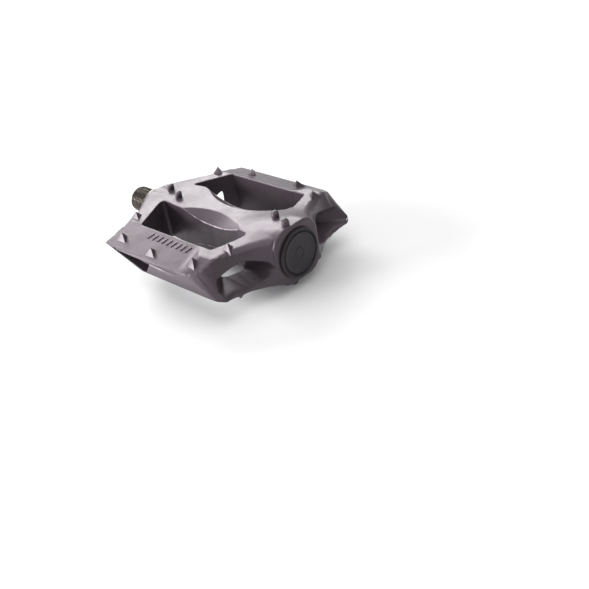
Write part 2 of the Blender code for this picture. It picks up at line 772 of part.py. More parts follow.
# ---------------------------------------------------------------- assembly
clear_scene()
PARTS = new_collection("flat_pedal")
CUTTERS = new_collection("flat_pedal_cutters")
PLASTIC = plain_material("black nylon", (0.035, 0.032, 0.035), 0.45)
PLASTIC_CAP = plain_material("black cap plastic", (0.020, 0.019, 0.020), 0.40)
STEEL = plain_material("blackened steel", (0.060, 0.055, 0.050), 0.35, 0.9)
CUP_STEEL = plain_material("hardened steel", (0.420, 0.410, 0.390), 0.30, 1.0)
BALL_STEEL = plain_material("bright steel", (0.620, 0.610, 0.600), 0.15, 1.0)
RUBBER = plain_material("black rubber", (0.015, 0.015, 0.015), 0.70)

make_platform()
make_spindle()
make_cups()
make_balls()
make_seal()
make_cone()
make_lock_washer()
make_lock_nut()
make_end_cap()

axle_axis = bpy.data.objects.new("axle_axis", None)
PARTS.objects.link(axle_axis)
axle_axis.location = (AXLE_SHIFT, 0, AXLE_HEIGHT)
for piece in list(PARTS.objects) + list(CUTTERS.objects):
    if piece is not axle_axis:
        piece.parent = axle_axis
bpy.context.view_layer.update()
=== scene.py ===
"""Left-hand flat bicycle pedal: a moulded nylon platform on a steel axle with loose balls.

Shapes are drawn about the axle's axis, in metres, with +X towards the end cap and +Y towards the
rear rail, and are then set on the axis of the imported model. The last step adds a studio stage.
"""

import math

import bmesh
import bpy
from mathutils import Matrix, Vector


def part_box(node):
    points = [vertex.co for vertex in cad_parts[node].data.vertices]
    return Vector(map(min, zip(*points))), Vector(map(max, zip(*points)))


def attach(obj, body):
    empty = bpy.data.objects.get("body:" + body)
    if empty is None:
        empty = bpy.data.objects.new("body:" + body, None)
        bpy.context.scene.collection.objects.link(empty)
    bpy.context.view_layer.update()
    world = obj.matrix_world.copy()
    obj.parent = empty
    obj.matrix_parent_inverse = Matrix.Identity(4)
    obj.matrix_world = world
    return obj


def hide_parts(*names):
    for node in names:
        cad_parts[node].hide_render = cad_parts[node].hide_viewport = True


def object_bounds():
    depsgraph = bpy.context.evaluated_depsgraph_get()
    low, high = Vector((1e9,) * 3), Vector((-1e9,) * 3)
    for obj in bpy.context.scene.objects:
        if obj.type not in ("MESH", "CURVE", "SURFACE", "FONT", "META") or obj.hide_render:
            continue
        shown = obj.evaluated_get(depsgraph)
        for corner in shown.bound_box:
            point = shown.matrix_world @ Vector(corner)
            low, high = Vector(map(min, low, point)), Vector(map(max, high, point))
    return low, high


bl_info = {
    "name": "Flat pedal",
    "version": (1, 0, 0),
    "blender": (4, 5, 0),
    "location": "View3D > Sidebar > Pedal",
    "description": "Builds a moulded flat pedal, its axle and its bearings",
    "category": "Add Mesh",
}

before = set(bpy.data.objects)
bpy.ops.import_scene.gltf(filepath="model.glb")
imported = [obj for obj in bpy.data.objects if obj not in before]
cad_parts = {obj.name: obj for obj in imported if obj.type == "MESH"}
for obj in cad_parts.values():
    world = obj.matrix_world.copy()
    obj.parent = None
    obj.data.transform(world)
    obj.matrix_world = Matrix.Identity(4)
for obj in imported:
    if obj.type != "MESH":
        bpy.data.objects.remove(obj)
CAD_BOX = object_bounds()
CAP_LOW, CAP_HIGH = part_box("end_cap")
CAP_FACE = 0.0450  # the end cap's face along the axle, from the shapes' own origin
AXIS = Vector((CAP_HIGH.x - CAP_FACE, (CAP_LOW.y + CAP_HIGH.y) / 2, (CAP_LOW.z + CAP_HIGH.z) / 2))

# ---------------------------------------------------------------- platform plan
HUB_INNER_X, HUB_OUTER_X = -0.0620, 0.0435
RAIL_Y = 0.0500  # outer face of a rail
CAP_ARM_CURVE = ((0.0412, 0.0148), (0.0292, 0.0246), (0.0266, 0.0400))  # start, control, end
CAP_ARM_STEPS = 20
SIDE_CORNERS = (  # x, y and radius, from the cap's arm round the rail to the crank end
    (0.0266, 0.0400, 0),
    (0.0245, 0.0457, 0.0060),
    (0.0172, RAIL_Y, 0.0010),
    (-0.0468, RAIL_Y, 0.0005),
    (-0.0456, 0.0370, 0.0120),
    (-0.0478, 0.0262, 0.0150),
    (-0.0570, 0.0145, 0.0120),
    (HUB_INNER_X, 0.0080, 0.0030),
)
WINDOW_Y = 0.0330
REAR_WINDOW = (  # x, y and radius
    (-0.0350, WINDOW_Y, 0.0010),
    (0.0193, WINDOW_Y, 0.0010),
    (0.0252, 0.0172, 0.0025),
    (0.0150, 0.0122, 0.0120),
    (-0.0060, 0.0102, 0.0300),
    (-0.0270, 0.0112, 0.0200),
    (-0.0370, 0.0143, 0.0060),
    (-0.0462, 0.0128, 0.0010),
)
FRONT_WINDOW = (
    (-0.0350, -WINDOW_Y, 0.0010),
    (0.0183, -WINDOW_Y, 0.0010),
    (0.0248, -0.0142, 0.0022),
    (0.0150, -0.0122, 0.0120),
    (-0.0060, -0.0102, 0.0300),
    (-0.0310, -0.0097, 0.0200),
    (-0.0466, -0.0082, 0.0020),
    (-0.0450, -0.0135, 0.0040),
)
CUT_HEIGHT = 0.0200  # half height of the prisms that cut or trim the platform
CUT_MARGIN = 0.0030  # how far a cutting shape stands past the platform

# ---------------------------------------------------------------- platform heights
FACE_Z = 0.0110  # level middle of the tread
RAIL_EDGE_Z = 0.0054  # tread at a rail's outer face
SLOPE_START_Y = 0.0325
SLOPE_DELAY, DELAY_X = 0.0070, (0.0090, 0.0180)  # the slope starts later beside the end cap
MOUND_RISE, MOUND_WIDTH, MOUND_X = 0.0040, 0.0150, (0.0020, 0.0360)
NOSE_DROP, NOSE_START_X = 0.0006, -0.0480
ROLL_OUTBOARD = 0.0032  # radius of the arms' rounded outboard edge
ROLL_CORNER = 0.0009
ROLL_CRANK = 0.0016
ROLL_RAIL = 0.0004
OUTBOARD_FADE = (0.028, 0.012)  # y where the outboard roll starts to thin, and over how far
CRANK_FADE = (0.046, 0.014)  # the same for the crank end's roll, which grows from there inwards

# ---------------------------------------------------------------- lean of the rails
# (y, how far the underside stands outboard of the tread there), at the cap end and the crank end
OUTER_LEAN = (
    (0.0115, 0.0),
    (0.0190, 0.0055),
    (0.0350, 0.0070),
    (0.0400, 0.0085),
    (0.0500, 0.0178),
)
INNER_LEAN = (
    (0.0080, 0.0),
    (0.0165, 0.0017),
    (0.0310, 0.0075),
    (0.0400, 0.0156),
    (0.0500, 0.0250),
)
LEAN_X = (-0.0460, 0.0200)  # the crank end and the cap end of that change
LEAN_EASE = 0.0050  # reach over which the corners of those lines are eased
TUCK, TUCK_START_Y = 0.0020, 0.0360  # how far the rails' undersides draw inwards

# ---------------------------------------------------------------- openings, pockets and slots
# each corner as (place on the window's wall, place on the arm's outer face), for the +Y rail
OUTBOARD_OPENING = (
    ((0.0200, 0.0310, 0.0035), (0.0283, 0.0405, 0.0025)),
    ((0.0223, 0.0250, 0.0043), (0.0320, 0.0258, 0.0050)),
    ((0.0240, 0.0193, 0.0028), (0.0398, 0.0170, 0.0022)),
    ((0.0243, 0.0182, -0.0015), (0.0420, 0.0150, -0.0015)),
    ((0.0240, 0.0190, -0.0052), (0.0410, 0.0173, -0.0052)),
    ((0.0210, 0.0290, -0.0063), (0.0360, 0.0273, -0.0088)),
    ((0.0200, 0.0310, -0.0048), (0.0303, 0.0410, -0.0050)),
)
REAR_OPENING = (
    (OUTBOARD_OPENING[0][0], (0.0290, 0.0424, 0.0018)),
    *OUTBOARD_OPENING[1:6],
    (OUTBOARD_OPENING[6][0], (0.0311, 0.0426, -0.0056)),
)
CRANK_OPENING = (
    ((-0.0418, 0.0207, -0.0010), (-0.0515, 0.0232, 0.0005)),
    ((-0.0398, 0.0243, 0.0012), (-0.0490, 0.0275, 0.0020)),
    ((-0.0388, 0.0262, 0.0026), (-0.0465, 0.0322, 0.0006)),
    ((-0.0388, 0.0262, -0.0036), (-0.0455, 0.0325, -0.0078)),
    ((-0.0400, 0.0240, -0.0046), (-0.0480, 0.0275, -0.0085)),
    ((-0.0418, 0.0207, -0.0030), (-0.0515, 0.0232, -0.0050)),
)
OPENING_OVERRUN = 0.40  # share of its length that an opening's tool runs on at each end
OUTBOARD_SOFTENING, CRANK_SOFTENING = 0.0014, 0.0005
POCKET_CORNERS = (  # x, z and radius; the first, second, sixth and last make the nick
    (-0.0396, 0.0047, 0.0),
    (-0.0386, 0.0027, 0.0002),
    (-0.0192, -0.0054, 0.0004),
    (-0.0180, -0.0048, 0.0004),
    (-0.0118, 0.0023, 0.0003),
    (-0.0378, 0.0033, 0.0002),
    (-0.0386, 0.0047, 0.0),
)
POCKET_DEPTH = 0.0075
RAIL_SLOTS = ((0.0026, 0.0033, 0.0026), (0.0044, 0.0048, 0.0009))  # low, high and depth
SLOT_X = (-0.0400, 0.0096)

# ---------------------------------------------------------------- studs and ribs
# each spike as (x, y, turn in degrees)
TREAD_SPIKES = (
    (-0.0431, -0.0293, 3),
    (-0.0373, -0.0442, 2),
    (-0.0119, -0.0461, 3),
    (0.0172, -0.0440, -7),
    (0.0262, -0.0286, 0),
    (-0.0439, 0.0306, 26),
    (-0.0290, 0.0424, 20),
    (0.0044, 0.0431, -30),
    (0.0259, 0.0327, -35),
)
UNDER_ARM_SPIKES = ((-0.0488, 0.0216, 20), (0.0235, 0.0300, -10))
UNDER_RAIL_SPIKES = (
    (-0.0395, 0.0425, 80),
    (-0.0120, 0.0435, 35),
    (0.0150, 0.0425, -25),
    (-0.0285, -0.0415, 50),
    (0.0040, -0.0430, -40),
)
POSTS = ((-0.0525, 0.0022), (-0.0408, -0.0022), (0.0286, 0.0022), (0.0398, -0.0022))
STUD_SINK = 0.0012  # how far a stud's foot goes down into the platform
SPIKE_TIP_RADIUS, SPIKE_EDGE = 0.00012, 0.00022
POST_TIP_RISE = 0.0013
RIB_COUNT, RIB_START_X, RIB_PITCH, RIB_Y = 9, -0.0225, 0.0036, -0.0372
RIB_SIZE, RIB_EDGE, RIB_SLANT = (0.0042, 0.0009, 0.0007), 0.00018, 72  # slant in degrees

# ---------------------------------------------------------------- sloped shoulders of the spine
# each facet is part of a cone with an upright axis: its radius at the tread and at its foot, and
# how far it reaches from the axle along both axes
FACETS = (
    {
        "centre": (-0.0060, 0.0490),
        "top": 0.0447,
        "foot": 0.0388,
        "reach_x": 0.0240,
        "reach_y": 0.0165,
        "window": REAR_WINDOW,
    },
    {
        "centre": (-0.0085, -0.0404),
        "top": 0.0370,
        "foot": 0.0303,
        "reach_x": 0.0200,
        "reach_y": 0.0150,
        "window": FRONT_WINDOW,
    },
)
FACET_FOOT_Z = 0.0066
FACET_LOW_Z, FACET_HIGH_Z = 0.0020, 0.0180
FACET_START_X, FACET_START_Y = -0.0400, 0.0005  # where the trim starts along both axes
FACET_SEGMENTS = 240
RIDGE_START_X = -0.0320
RIDGE_STEPS = 12  # points sought along each edge of a window
RIDGE_CLEARANCE = 0.0003  # the ridge ends this far below the tread
BEAD_RADIUS, BEAD_END_RADIUS = 0.00034, 0.00002
BEAD_WAVES = (2300, 910)  # two waves that make the bead uneven, in radians for each metre

# ---------------------------------------------------------------- platform skin
SLAB_CELL = 0.0011  # spacing of the points that carry the tread's heights
SKIN_EASE, SKIN_EASE_STEPS = 0.5, 4
HOLLOW_X, HOLLOW_REACH = 0.0345, 0.0070  # middle and half length of the hollows beside the boss
HOLLOW_RADIUS, HOLLOW_FADE = 0.0118, 0.0015  # they start at this radius, over this depth
HOLLOW_EASE, HOLLOW_EASE_STEPS = 0.6, 60
FACE_BUDGET = 180000  # triangles in the skin before its slots are cut

# ---------------------------------------------------------------- bores and axle
SHAFT_BORE, CUP_BORE, CAP_BORE = 0.0065, 0.0097, 0.0113
INNER_CUP_END_X, OUTER_CUP_START_X, CAP_SEAT_X = -0.0552, 0.0235, 0.0350
THREAD_RADIUS, THREAD_ROOT = 0.00714, 0.0062
THREAD_END_X = -0.0810
COLLAR_RADIUS, COLLAR_START_X, COLLAR_END_X = 0.0084, -0.0677, -0.0626
THREAD_LEAD_IN, THREAD_LEAD_OUT = 0.0011, 0.0009  # lengths over which it grows and fades
THREAD_GAP = 0.0006  # plain length between the thread and the collar
CHAMFER = 0.0003
RUBBED_RADII = (0.0066, 0.0071)  # the steel is rubbed bright between these radii
CAP_RADIUS, CAP_RING = 0.0130, 0.0112
BALL_COUNT, BALL_CIRCLE, BALL_RADIUS = 12, 0.0070, 0.0015
CUP_WALL, CUP_LIP = 0.0088, 0.0068
FIT_GAP = 0.0003  # between a pressed part and its bore
TURN_STEPS = 96  # points round a turned part
SPINDLE_STEPS = 72
PROFILE_EASE = 0.0002  # reach of the short arcs at a turned part's edges

# ---------------------------------------------------------------- stage
# each light as (name, place, width and height)
KEY_LIGHT = ("key_light", (-1.10, 0.56, 0.72), (1.1, 0.50))
TOP_LIGHT = ("top_light", (0.10, -0.10, 1.40), (1.6, 1.6))
SIDE_LIGHT = ("side_light", (-0.75, -0.95, 0.30), (0.8, 0.5))
FLOOR_HALF = 3.0
CAMERA_STAND = Vector((0.3262, -0.2636, 0.2167))  # from the axle's middle
CAMERA_AIM = Vector((0.0306, 0.0046, -0.0315))
CAMERA_ROLL = -9.24  # degrees


# ---------------------------------------------------------------- settings
class PlatformSettings(bpy.types.PropertyGroup):
    """Sizes and colours of the moulded platform."""

    grain: bpy.props.FloatProperty(
        name="Mesh grain",
        description="Edge length of the platform's skin",
        default=0.00031,
        min=0.0002,
        subtype="DISTANCE",
        unit="LENGTH",
    )
    spike_height: bpy.props.FloatProperty(
        name="Spike height",
        description="Height of a three-sided spike above the tread",
        default=0.0035,
        subtype="DISTANCE",
        unit="LENGTH",
    )
    spike_radius: bpy.props.FloatProperty(
        name="Spike radius",
        description="Distance from a spike's middle to a corner of its foot",
        default=0.0033,
        subtype="DISTANCE",
        unit="LENGTH",
    )
    post_radius: bpy.props.FloatProperty(
        name="Post radius",
        description="Radius of a round grip post",
        default=0.0020,
        subtype="DISTANCE",
        unit="LENGTH",
    )
    post_height: bpy.props.FloatProperty(
        name="Post height",
        description="Height of a post's round part above the tread",
        default=0.0026,
        subtype="DISTANCE",
        unit="LENGTH",
    )
    nylon: bpy.props.FloatVectorProperty(
        name="Nylon",
        description="Colour of the moulded nylon",
        default=(0.038, 0.029, 0.036),
        subtype="COLOR",
        min=0.0,
        max=1.0,
    )
    # this colour is used for dust and scuffs, and also for the painted sheen on the rails' faces
    # and the painted highlight on the mould flash
    worn_and_sheen_nylon: bpy.props.FloatVectorProperty(
        name="Worn nylon",
        description="Colour of scuffed and dusty nylon",
        default=(0.092, 0.074, 0.087),
        subtype="COLOR",
        min=0.0,
        max=1.0,
    )
    sheen: bpy.props.FloatProperty(
        name="Roughness",
        description="Mean roughness of the nylon",
        default=0.37,
        min=0.0,
        max=1.0,
        subtype="FACTOR",
    )


class AxleSettings(bpy.types.PropertyGroup):
    """Sizes and colours of the axle."""

    thread_pitch: bpy.props.FloatProperty(
        name="Thread pitch",
        description="Distance between neighbouring turns of the crank thread",
        default=0.00127,
        subtype="DISTANCE",
        unit="LENGTH",
    )
    flats: bpy.props.FloatProperty(
        name="Spanner size",
        description="Distance across the spanner flats",
        default=0.0150,
        subtype="DISTANCE",
        unit="LENGTH",
    )
    steel: bpy.props.FloatVectorProperty(
        name="Steel",
        description="Colour of the blackened steel",
        default=(0.075, 0.067, 0.060),
        subtype="COLOR",
        min=0.0,
        max=1.0,
    )
    bright: bpy.props.FloatVectorProperty(
        name="Bearing steel",
        description="Colour of the bare steel of balls, nut and washer",
        default=(0.60, 0.59, 0.58),
        subtype="COLOR",
        min=0.0,
        max=1.0,
    )


class StageSettings(bpy.types.PropertyGroup):
    """Floor, lights and camera."""

    floor: bpy.props.FloatVectorProperty(
        name="Floor",
        description="Colour of the floor",
        default=(0.86, 0.86, 0.865),
        subtype="COLOR",
        min=0.0,
        max=1.0,
    )
    key_power: bpy.props.FloatProperty(
        name="Key light",
        description="Power of the large soft light behind the crank end",
        default=16.5,
        subtype="POWER",
        unit="POWER",
    )
    top_power: bpy.props.FloatProperty(
        name="Top light",
        description="Power of the wide light overhead",
        default=7.0,
        subtype="POWER",
        unit="POWER",
    )
    side_power: bpy.props.FloatProperty(
        name="Side light",
        description="Power of the soft light beside the front rail",
        default=26.0,
        subtype="POWER",
        unit="POWER",
    )
    fill: bpy.props.FloatProperty(
        name="Fill",
        description="Strength of the even light from all round",
        default=0.50,
        min=0.0,
    )
    lens: bpy.props.FloatProperty(
        name="Lens",
        description="Focal length of the camera",
        default=55.5,
        subtype="DISTANCE_CAMERA",
    )


# ---------------------------------------------------------------- mesh helpers
def mesh_from(bm, name):
    """The finished mesh, with its faces turned outwards."""
    bmesh.ops.recalc_face_normals(bm, faces=bm.faces)
    mesh = bpy.data.meshes.new(name)
    bm.to_mesh(mesh)
    bm.free()
    return mesh


def add_piece(name, mesh, body, material, replaced=()):
    """Shows a mesh drawn about the axle's axis as a piece of the pedal."""
    mesh.transform(Matrix.Translation(AXIS))
    made = bpy.data.objects.new(name, mesh)
    bpy.context.scene.collection.objects.link(made)
    made.data.materials.clear()
    made.data.materials.append(material)
    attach(made, body)
    if replaced:
        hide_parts(*replaced)


def scratch_object(name, mesh):
    """A plain object, so that modifiers can work on a mesh."""
    made = bpy.data.objects.new(name, mesh)
    bpy.context.scene.collection.objects.link(made)
    return made


def baked_mesh(thing, name):
    """A thing's mesh with its modifiers applied; the thing itself goes."""
    graph = bpy.context.evaluated_depsgraph_get()
    mesh = bpy.data.meshes.new_from_object(thing.evaluated_get(graph))
    mesh.name = name
    bpy.data.objects.remove(thing, do_unlink=True)
    return mesh


def combined(mesh, operands, operation):
    """The mesh after joining, cutting or trimming it with each operand mesh in turn."""
    target = scratch_object("blank", mesh)
    tools = []
    for operand in operands:
        tool = scratch_object("tool", operand)
        step = target.modifiers.new("step", "BOOLEAN")
        step.operation = operation
        step.solver = "MANIFOLD"
        step.object = tool
        tools.append(tool)
    made = baked_mesh(target, mesh.name)
    for tool in tools:
        bpy.data.objects.remove(tool, do_unlink=True)
    return made


def join_rows(bm, rows):
    """Faces between rings of vertices that have the same number of them."""
    for near, far in zip(rows, rows[1:]):
        for index in range(len(near)):
            bm.faces.new((near[index - 1], near[index], far[index], far[index - 1]))


def loft(name, rings):
    """A closed skin through rings that have the same number of points."""
    bm = bmesh.new()
    rows = [[bm.verts.new(point) for point in ring] for ring in rings]
    join_rows(bm, rows)
    bm.faces.new(rows[0])
    bm.faces.new(rows[-1])
    bmesh.ops.triangulate(bm, faces=[face for face in bm.faces if len(face.verts) > 4])
    return mesh_from(bm, name)


def wrapped(name, rows):
    """A skin round the axle through rows of (along, radius); a row of one lies on the axis."""
    bm = bmesh.new()
    rings = []
    for row in rows:
        if len(row) == 1:
            rings.append([bm.verts.new((row[0][0], 0, 0))])
            continue
        ring = []
        for step, (along, radius) in enumerate(row):
            angle = 2 * math.pi * step / len(row)
            spot = (along, radius * math.cos(angle), radius * math.sin(angle))
            ring.append(bm.verts.new(spot))
        rings.append(ring)
    for index, far in enumerate(rings):
        near = rings[index - 1]
        if len(near) == 1 and len(far) == 1:
            continue
        steps = max(len(near), len(far))
        for step in range(steps):
            after = (step + 1) % steps
            corners = [near[step % len(near)], near[after % len(near)]]
            corners += [far[after % len(far)], far[step % len(far)]]
            bm.faces.new(list(dict.fromkeys(corners)))
    return mesh_from(bm, name)


def turned(name, profile):
    """A closed (along, radius) profile turned about the axle."""
    return wrapped(name, [[spot] * (TURN_STEPS if spot[1] > 1e-6 else 1) for spot in profile])


def corner_arc(here, back, ahead, cut, steps):
    """Points of a short arc that rounds a corner, cut off at a length along both of its sides."""
    start, end = here + back.normalized() * cut, here + ahead.normalized() * cut
    stops = [step / steps for step in range(steps + 1)]
    return [start * (1 - t) ** 2 + here * 2 * t * (1 - t) + end * t * t for t in stops]


def softened(profile):
    """A profile with each corner off the axis rounded by a short arc."""
    made = []
    for index, (along, radius) in enumerate(profile):
        here = Vector((along, radius))
        back = Vector(profile[index - 1]) - here
        ahead = Vector(profile[(index + 1) % len(profile)]) - here
        cut = min(PROFILE_EASE, back.length * 0.4, ahead.length * 0.4)
        if radius < 1e-6 or cut < 1e-6:
            made.append((along, radius))
        else:
            made += [(point.x, point.y) for point in corner_arc(here, back, ahead, cut, 3)]
    return made


def edges_of(verts):
    """The edges at some vertices, each of them once and in an order that never changes."""
    return list(dict.fromkeys(edge for vert in verts for edge in vert.link_edges))


def smooth_by_angle(mesh, degrees):
    """Shades a mesh smooth, apart from the edges where it turns by more than an angle."""
    mesh.shade_smooth()
    bm = bmesh.new()
    bm.from_mesh(mesh)
    limit = math.radians(degrees)
    for edge in bm.edges:
        edge.smooth = len(edge.link_faces) == 2 and edge.calc_face_angle(0) < limit
    bm.to_mesh(mesh)
    bm.free()


# ---------------------------------------------------------------- platform shape
def smooth_step(value):
    """Rises from 0 to 1 with level ends as the value goes from 0 to 1."""
    held = min(max(value, 0.0), 1.0)
    return held * held * (3 - 2 * held)


def step_through(stations, value):
    """Reads a list of (place, amount) stations at a place between them."""
    if value <= stations[0][0]:
        return stations[0][1]
    for (low, start), (high, end) in zip(stations, stations[1:]):
        if value <= high:
            return start + (end - start) * (value - low) / (high - low)
    return stations[-1][1]


def eased(stations, value):
    """Reads stations as step_through does, with the corners of their line eased."""
    steps = 5
    spread = [LEAN_EASE * (2 * step / (steps - 1) - 1) for step in range(steps)]
    inside = min(max(value, stations[0][0]), stations[-1][0])
    room = min(inside - stations[0][0], stations[-1][0] - inside, LEAN_EASE) / LEAN_EASE
    return sum(step_through(stations, inside + offset * room) for offset in spread) / steps


def tread_height(x, y, below=False):
    """Height of the tread above the axis, or depth of the underside below it."""
    delay = 0 if below else smooth_step((x - DELAY_X[0]) / (DELAY_X[1] - DELAY_X[0]))
    slope_start = SLOPE_START_Y + SLOPE_DELAY * delay
    past = max(abs(y) - slope_start, 0.0)
    height = FACE_Z - (FACE_Z - RAIL_EDGE_Z) * past / (RAIL_Y - slope_start)
    swell = smooth_step((x - MOUND_X[0]) / (MOUND_X[1] - MOUND_X[0]))
    height += MOUND_RISE * swell * math.exp(-((y / MOUND_WIDTH) ** 2))
    height -= NOSE_DROP * smooth_step((NOSE_START_X - x) / (NOSE_START_X - HUB_INNER_X))
    return height


def lean_shift(x, y):
    """How far the underside stands outboard of the tread above it."""
    blend = min(max((x - LEAN_X[0]) / (LEAN_X[1] - LEAN_X[0]), 0.0), 1.0)
    inner, outer = eased(INNER_LEAN, abs(y)), eased(OUTER_LEAN, abs(y))
    return inner + (outer - inner) * blend


def lean(point):
    """Moves a point of the upright platform to its place on the leaning one."""
    x, y = point.x, point.y
    top, bottom = tread_height(x, y), tread_height(x, y, below=True)
    depth = min(max((top - point.z) / (top + bottom), 0.0), 1.0)
    tuck = TUCK * min(max((abs(y) - TUCK_START_Y) / (RAIL_Y - TUCK_START_Y), 0.0), 1.0)
    return point + Vector((lean_shift(x, y), -math.copysign(tuck, y), 0)) * depth


def rounded_outline(corners, step=math.radians(10)):
    """Points round a closed outline; each corner is (u, v, radius)."""
    points = []
    for index, (u, v, radius) in enumerate(corners):
        here = Vector((u, v))
        back = (Vector(corners[index - 1][:2]) - here).normalized()
        ahead = (Vector(corners[(index + 1) % len(corners)][:2]) - here).normalized()
        angle = back.angle(ahead)
        if radius <= 0 or angle > math.radians(178):
            points.append(here)
            continue
        reach = radius / math.tan(angle / 2)
        centre = here + (back + ahead).normalized() * (radius / math.sin(angle / 2))
        start = here + back * reach - centre
        turn = start.angle_signed(here + ahead * reach - centre)
        count = max(1, round(abs(turn) / step))
        for stop in range(count + 1):
            points.append(centre + Matrix.Rotation(-turn * stop / count, 2) @ start)
    return [(point.x, point.y) for point in points]


def curve_points(start, control, end, count):
    """Points along a quadratic curve, without its last one."""
    found = []
    for stop in range(count):
        t = stop / count
        u = (1 - t) ** 2 * start[0] + 2 * t * (1 - t) * control[0] + t * t * end[0]
        v = (1 - t) ** 2 * start[1] + 2 * t * (1 - t) * control[1] + t * t * end[1]
        found.append((u, v, 0))
    return found


def side_outline():
    """One half of the tread's plan as (x, y, radius) corners, from the cap end to the crank end."""
    return curve_points(*CAP_ARM_CURVE, CAP_ARM_STEPS) + list(SIDE_CORNERS)


def platform_outline():
    """The whole of the tread's plan."""
    side = side_outline()
    return rounded_outline(side + [(x, -y, radius) for x, y, radius in reversed(side)])


def edge_radius(index, y):
    """Radius of the rolled edge that ends at a corner of the plan's side."""
    corner = CAP_ARM_STEPS + 2
    if index < corner - 2:
        start, reach = OUTBOARD_FADE
        return ROLL_OUTBOARD - (ROLL_OUTBOARD - ROLL_CORNER) * smooth_step((y - start) / reach)
    if index < corner:
        return ROLL_CORNER
    if index in (corner, corner + 1):
        return ROLL_RAIL
    start, reach = CRANK_FADE
    return ROLL_RAIL + (ROLL_CRANK - ROLL_RAIL) * smooth_step((start - y) / reach)


def edge_rolls():
    """The plan's edges on the +Y side as (start, end, radius of the rolled edge)."""
    side = side_outline()
    rolls = []
    for index, (one, two) in enumerate(zip(side, side[1:])):
        rolls.append((Vector(one[:2]), Vector(two[:2]), edge_radius(index, two[1])))
    return rolls


def roll_drop(x, y, rolls):
    """How far the tread has fallen near the plan's edge, on a quarter-round."""
    drop = 0.0
    here = Vector((x, abs(y)))
    for start, end, radius in rolls:
        along = end - start
        t = min(max((here - start).dot(along) / along.length_squared, 0.0), 1.0)
        near = (here - start - along * t).length
        if near < radius:
            drop = max(drop, radius - math.sqrt(radius * radius - (radius - near) ** 2))
    return drop


def crowned_slab():
    """A slab whose faces follow the tread, larger in plan than the platform."""
    rolls = edge_rolls()
    x_low, x_high = HUB_INNER_X - CUT_MARGIN, HUB_OUTER_X + CUT_MARGIN
    y_high = RAIL_Y + CUT_MARGIN
    columns, rows = round((x_high - x_low) / SLAB_CELL), round(2 * y_high / SLAB_CELL)
    bm = bmesh.new()
    bmesh.ops.create_grid(bm, x_segments=columns, y_segments=rows, size=1.0)
    heights = {}
    for vert in bm.verts:
        vert.co.x = x_low + (vert.co.x + 1) / 2 * (x_high - x_low)
        vert.co.y *= y_high
        x, y = vert.co.x, vert.co.y
        drop = roll_drop(x, y, rolls)
        heights[x, y] = tread_height(x, y) - drop
        vert.co.z = drop - tread_height(x, y, below=True)
    raised = bmesh.ops.extrude_face_region(bm, geom=bm.faces[:])
    for item in raised["geom"]:
        if isinstance(item, bmesh.types.BMVert):
            item.co.z = heights[item.co.x, item.co.y]
    return mesh_from(bm, "slab")


def prism(name, outline):
    """A flat outline given thickness, enough to pass through the platform."""
    return loft(name, [[(u, v, level) for u, v in outline] for level in (-CUT_HEIGHT, CUT_HEIGHT)])


def across_axle(name, rings):
    """A loft along the axle; each ring is (x, outline in y and z)."""
    return loft(name, [[(x, u, v) for u, v in outline] for x, outline in rings])


def facet_slope(facet):
    """How much wider a facet's cone gets for each metre of height."""
    return (facet["top"] - facet["foot"]) / (FACE_Z - FACET_FOOT_Z)


def facet_cone(facet, face):
    """A facet's cone above the axle, or below it for a face of -1, cut off at both ends."""
    slope = facet_slope(facet)
    bm = bmesh.new()
    bmesh.ops.create_cone(
        bm,
        cap_ends=True,
        segments=FACET_SEGMENTS,
        radius1=facet["foot"] + slope * (FACET_LOW_Z - FACET_FOOT_Z),
        radius2=facet["foot"] + slope * (FACET_HIGH_Z - FACET_FOOT_Z),
        depth=FACET_HIGH_Z - FACET_LOW_Z,
    )
    turn = Matrix.Identity(4) if face > 0 else Matrix.Rotation(math.pi, 4, "X")
    x, y = facet["centre"]
    bm.transform(Matrix.Translation((x, y, face * (FACET_LOW_Z + FACET_HIGH_Z) / 2)) @ turn)
    return mesh_from(bm, "facet")


def shoulder_facets():
    """Four cones, each trimmed to its window, that slope the shoulders of the spine."""
    made = []
    for facet in FACETS:
        side = facet["centre"][1]
        near, far = sorted(math.copysign(y, side) for y in (FACET_START_Y, facet["reach_y"]))
        start, end = FACET_START_X, facet["reach_x"]
        for face in (1, -1):
            keep = prism("keep", [(start, near), (end, near), (end, far), (start, far)])
            made.append(combined(facet_cone(facet, face), [keep], "INTERSECT"))
    return made


def arm_opening(corners, side, soften):
    """A tunnel through an arm with rounded long edges."""
    inner, outer = [], []
    for near, far in corners:
        start, end = (Vector((x, side * y, z)) for x, y, z in (near, far))
        over = (end - start) * OPENING_OVERRUN
        inner.append(start - over)
        outer.append(end + over)
    rings = []
    for ring in (inner, outer):
        rounded = []
        for index, here in enumerate(ring):
            back, ahead = ring[index - 1] - here, ring[(index + 1) % len(ring)] - here
            cut = min(soften, back.length * 0.42, ahead.length * 0.42)
            rounded += corner_arc(here, back, ahead, cut, 5)
        rings.append(rounded)
    return loft("opening", rings)


def rail_cut(name, outline, side, depth):
    """An outline in x and z that is cut to a depth into a rail's outer face."""
    near, far = RAIL_Y - depth, RAIL_Y + CUT_MARGIN
    return loft(name, [[(x, side * y, z) for x, z in outline] for y in (near, far)])


def rail_pocket(side):
    """A three-cornered pocket in a rail's outer face, with a short nick at its crank end."""
    return rail_cut("pocket", rounded_outline(POCKET_CORNERS), side, POCKET_DEPTH)


def rail_slots(side):
    """Two grooves along a rail's outer face: a deep one above the pocket and a fine one."""
    start, end = SLOT_X
    made = []
    for low, high, depth in RAIL_SLOTS:
        outline = [(start, low), (end, low), (end, high), (start, high)]
        made.append(rail_cut("slot", outline, side, depth))
    return made


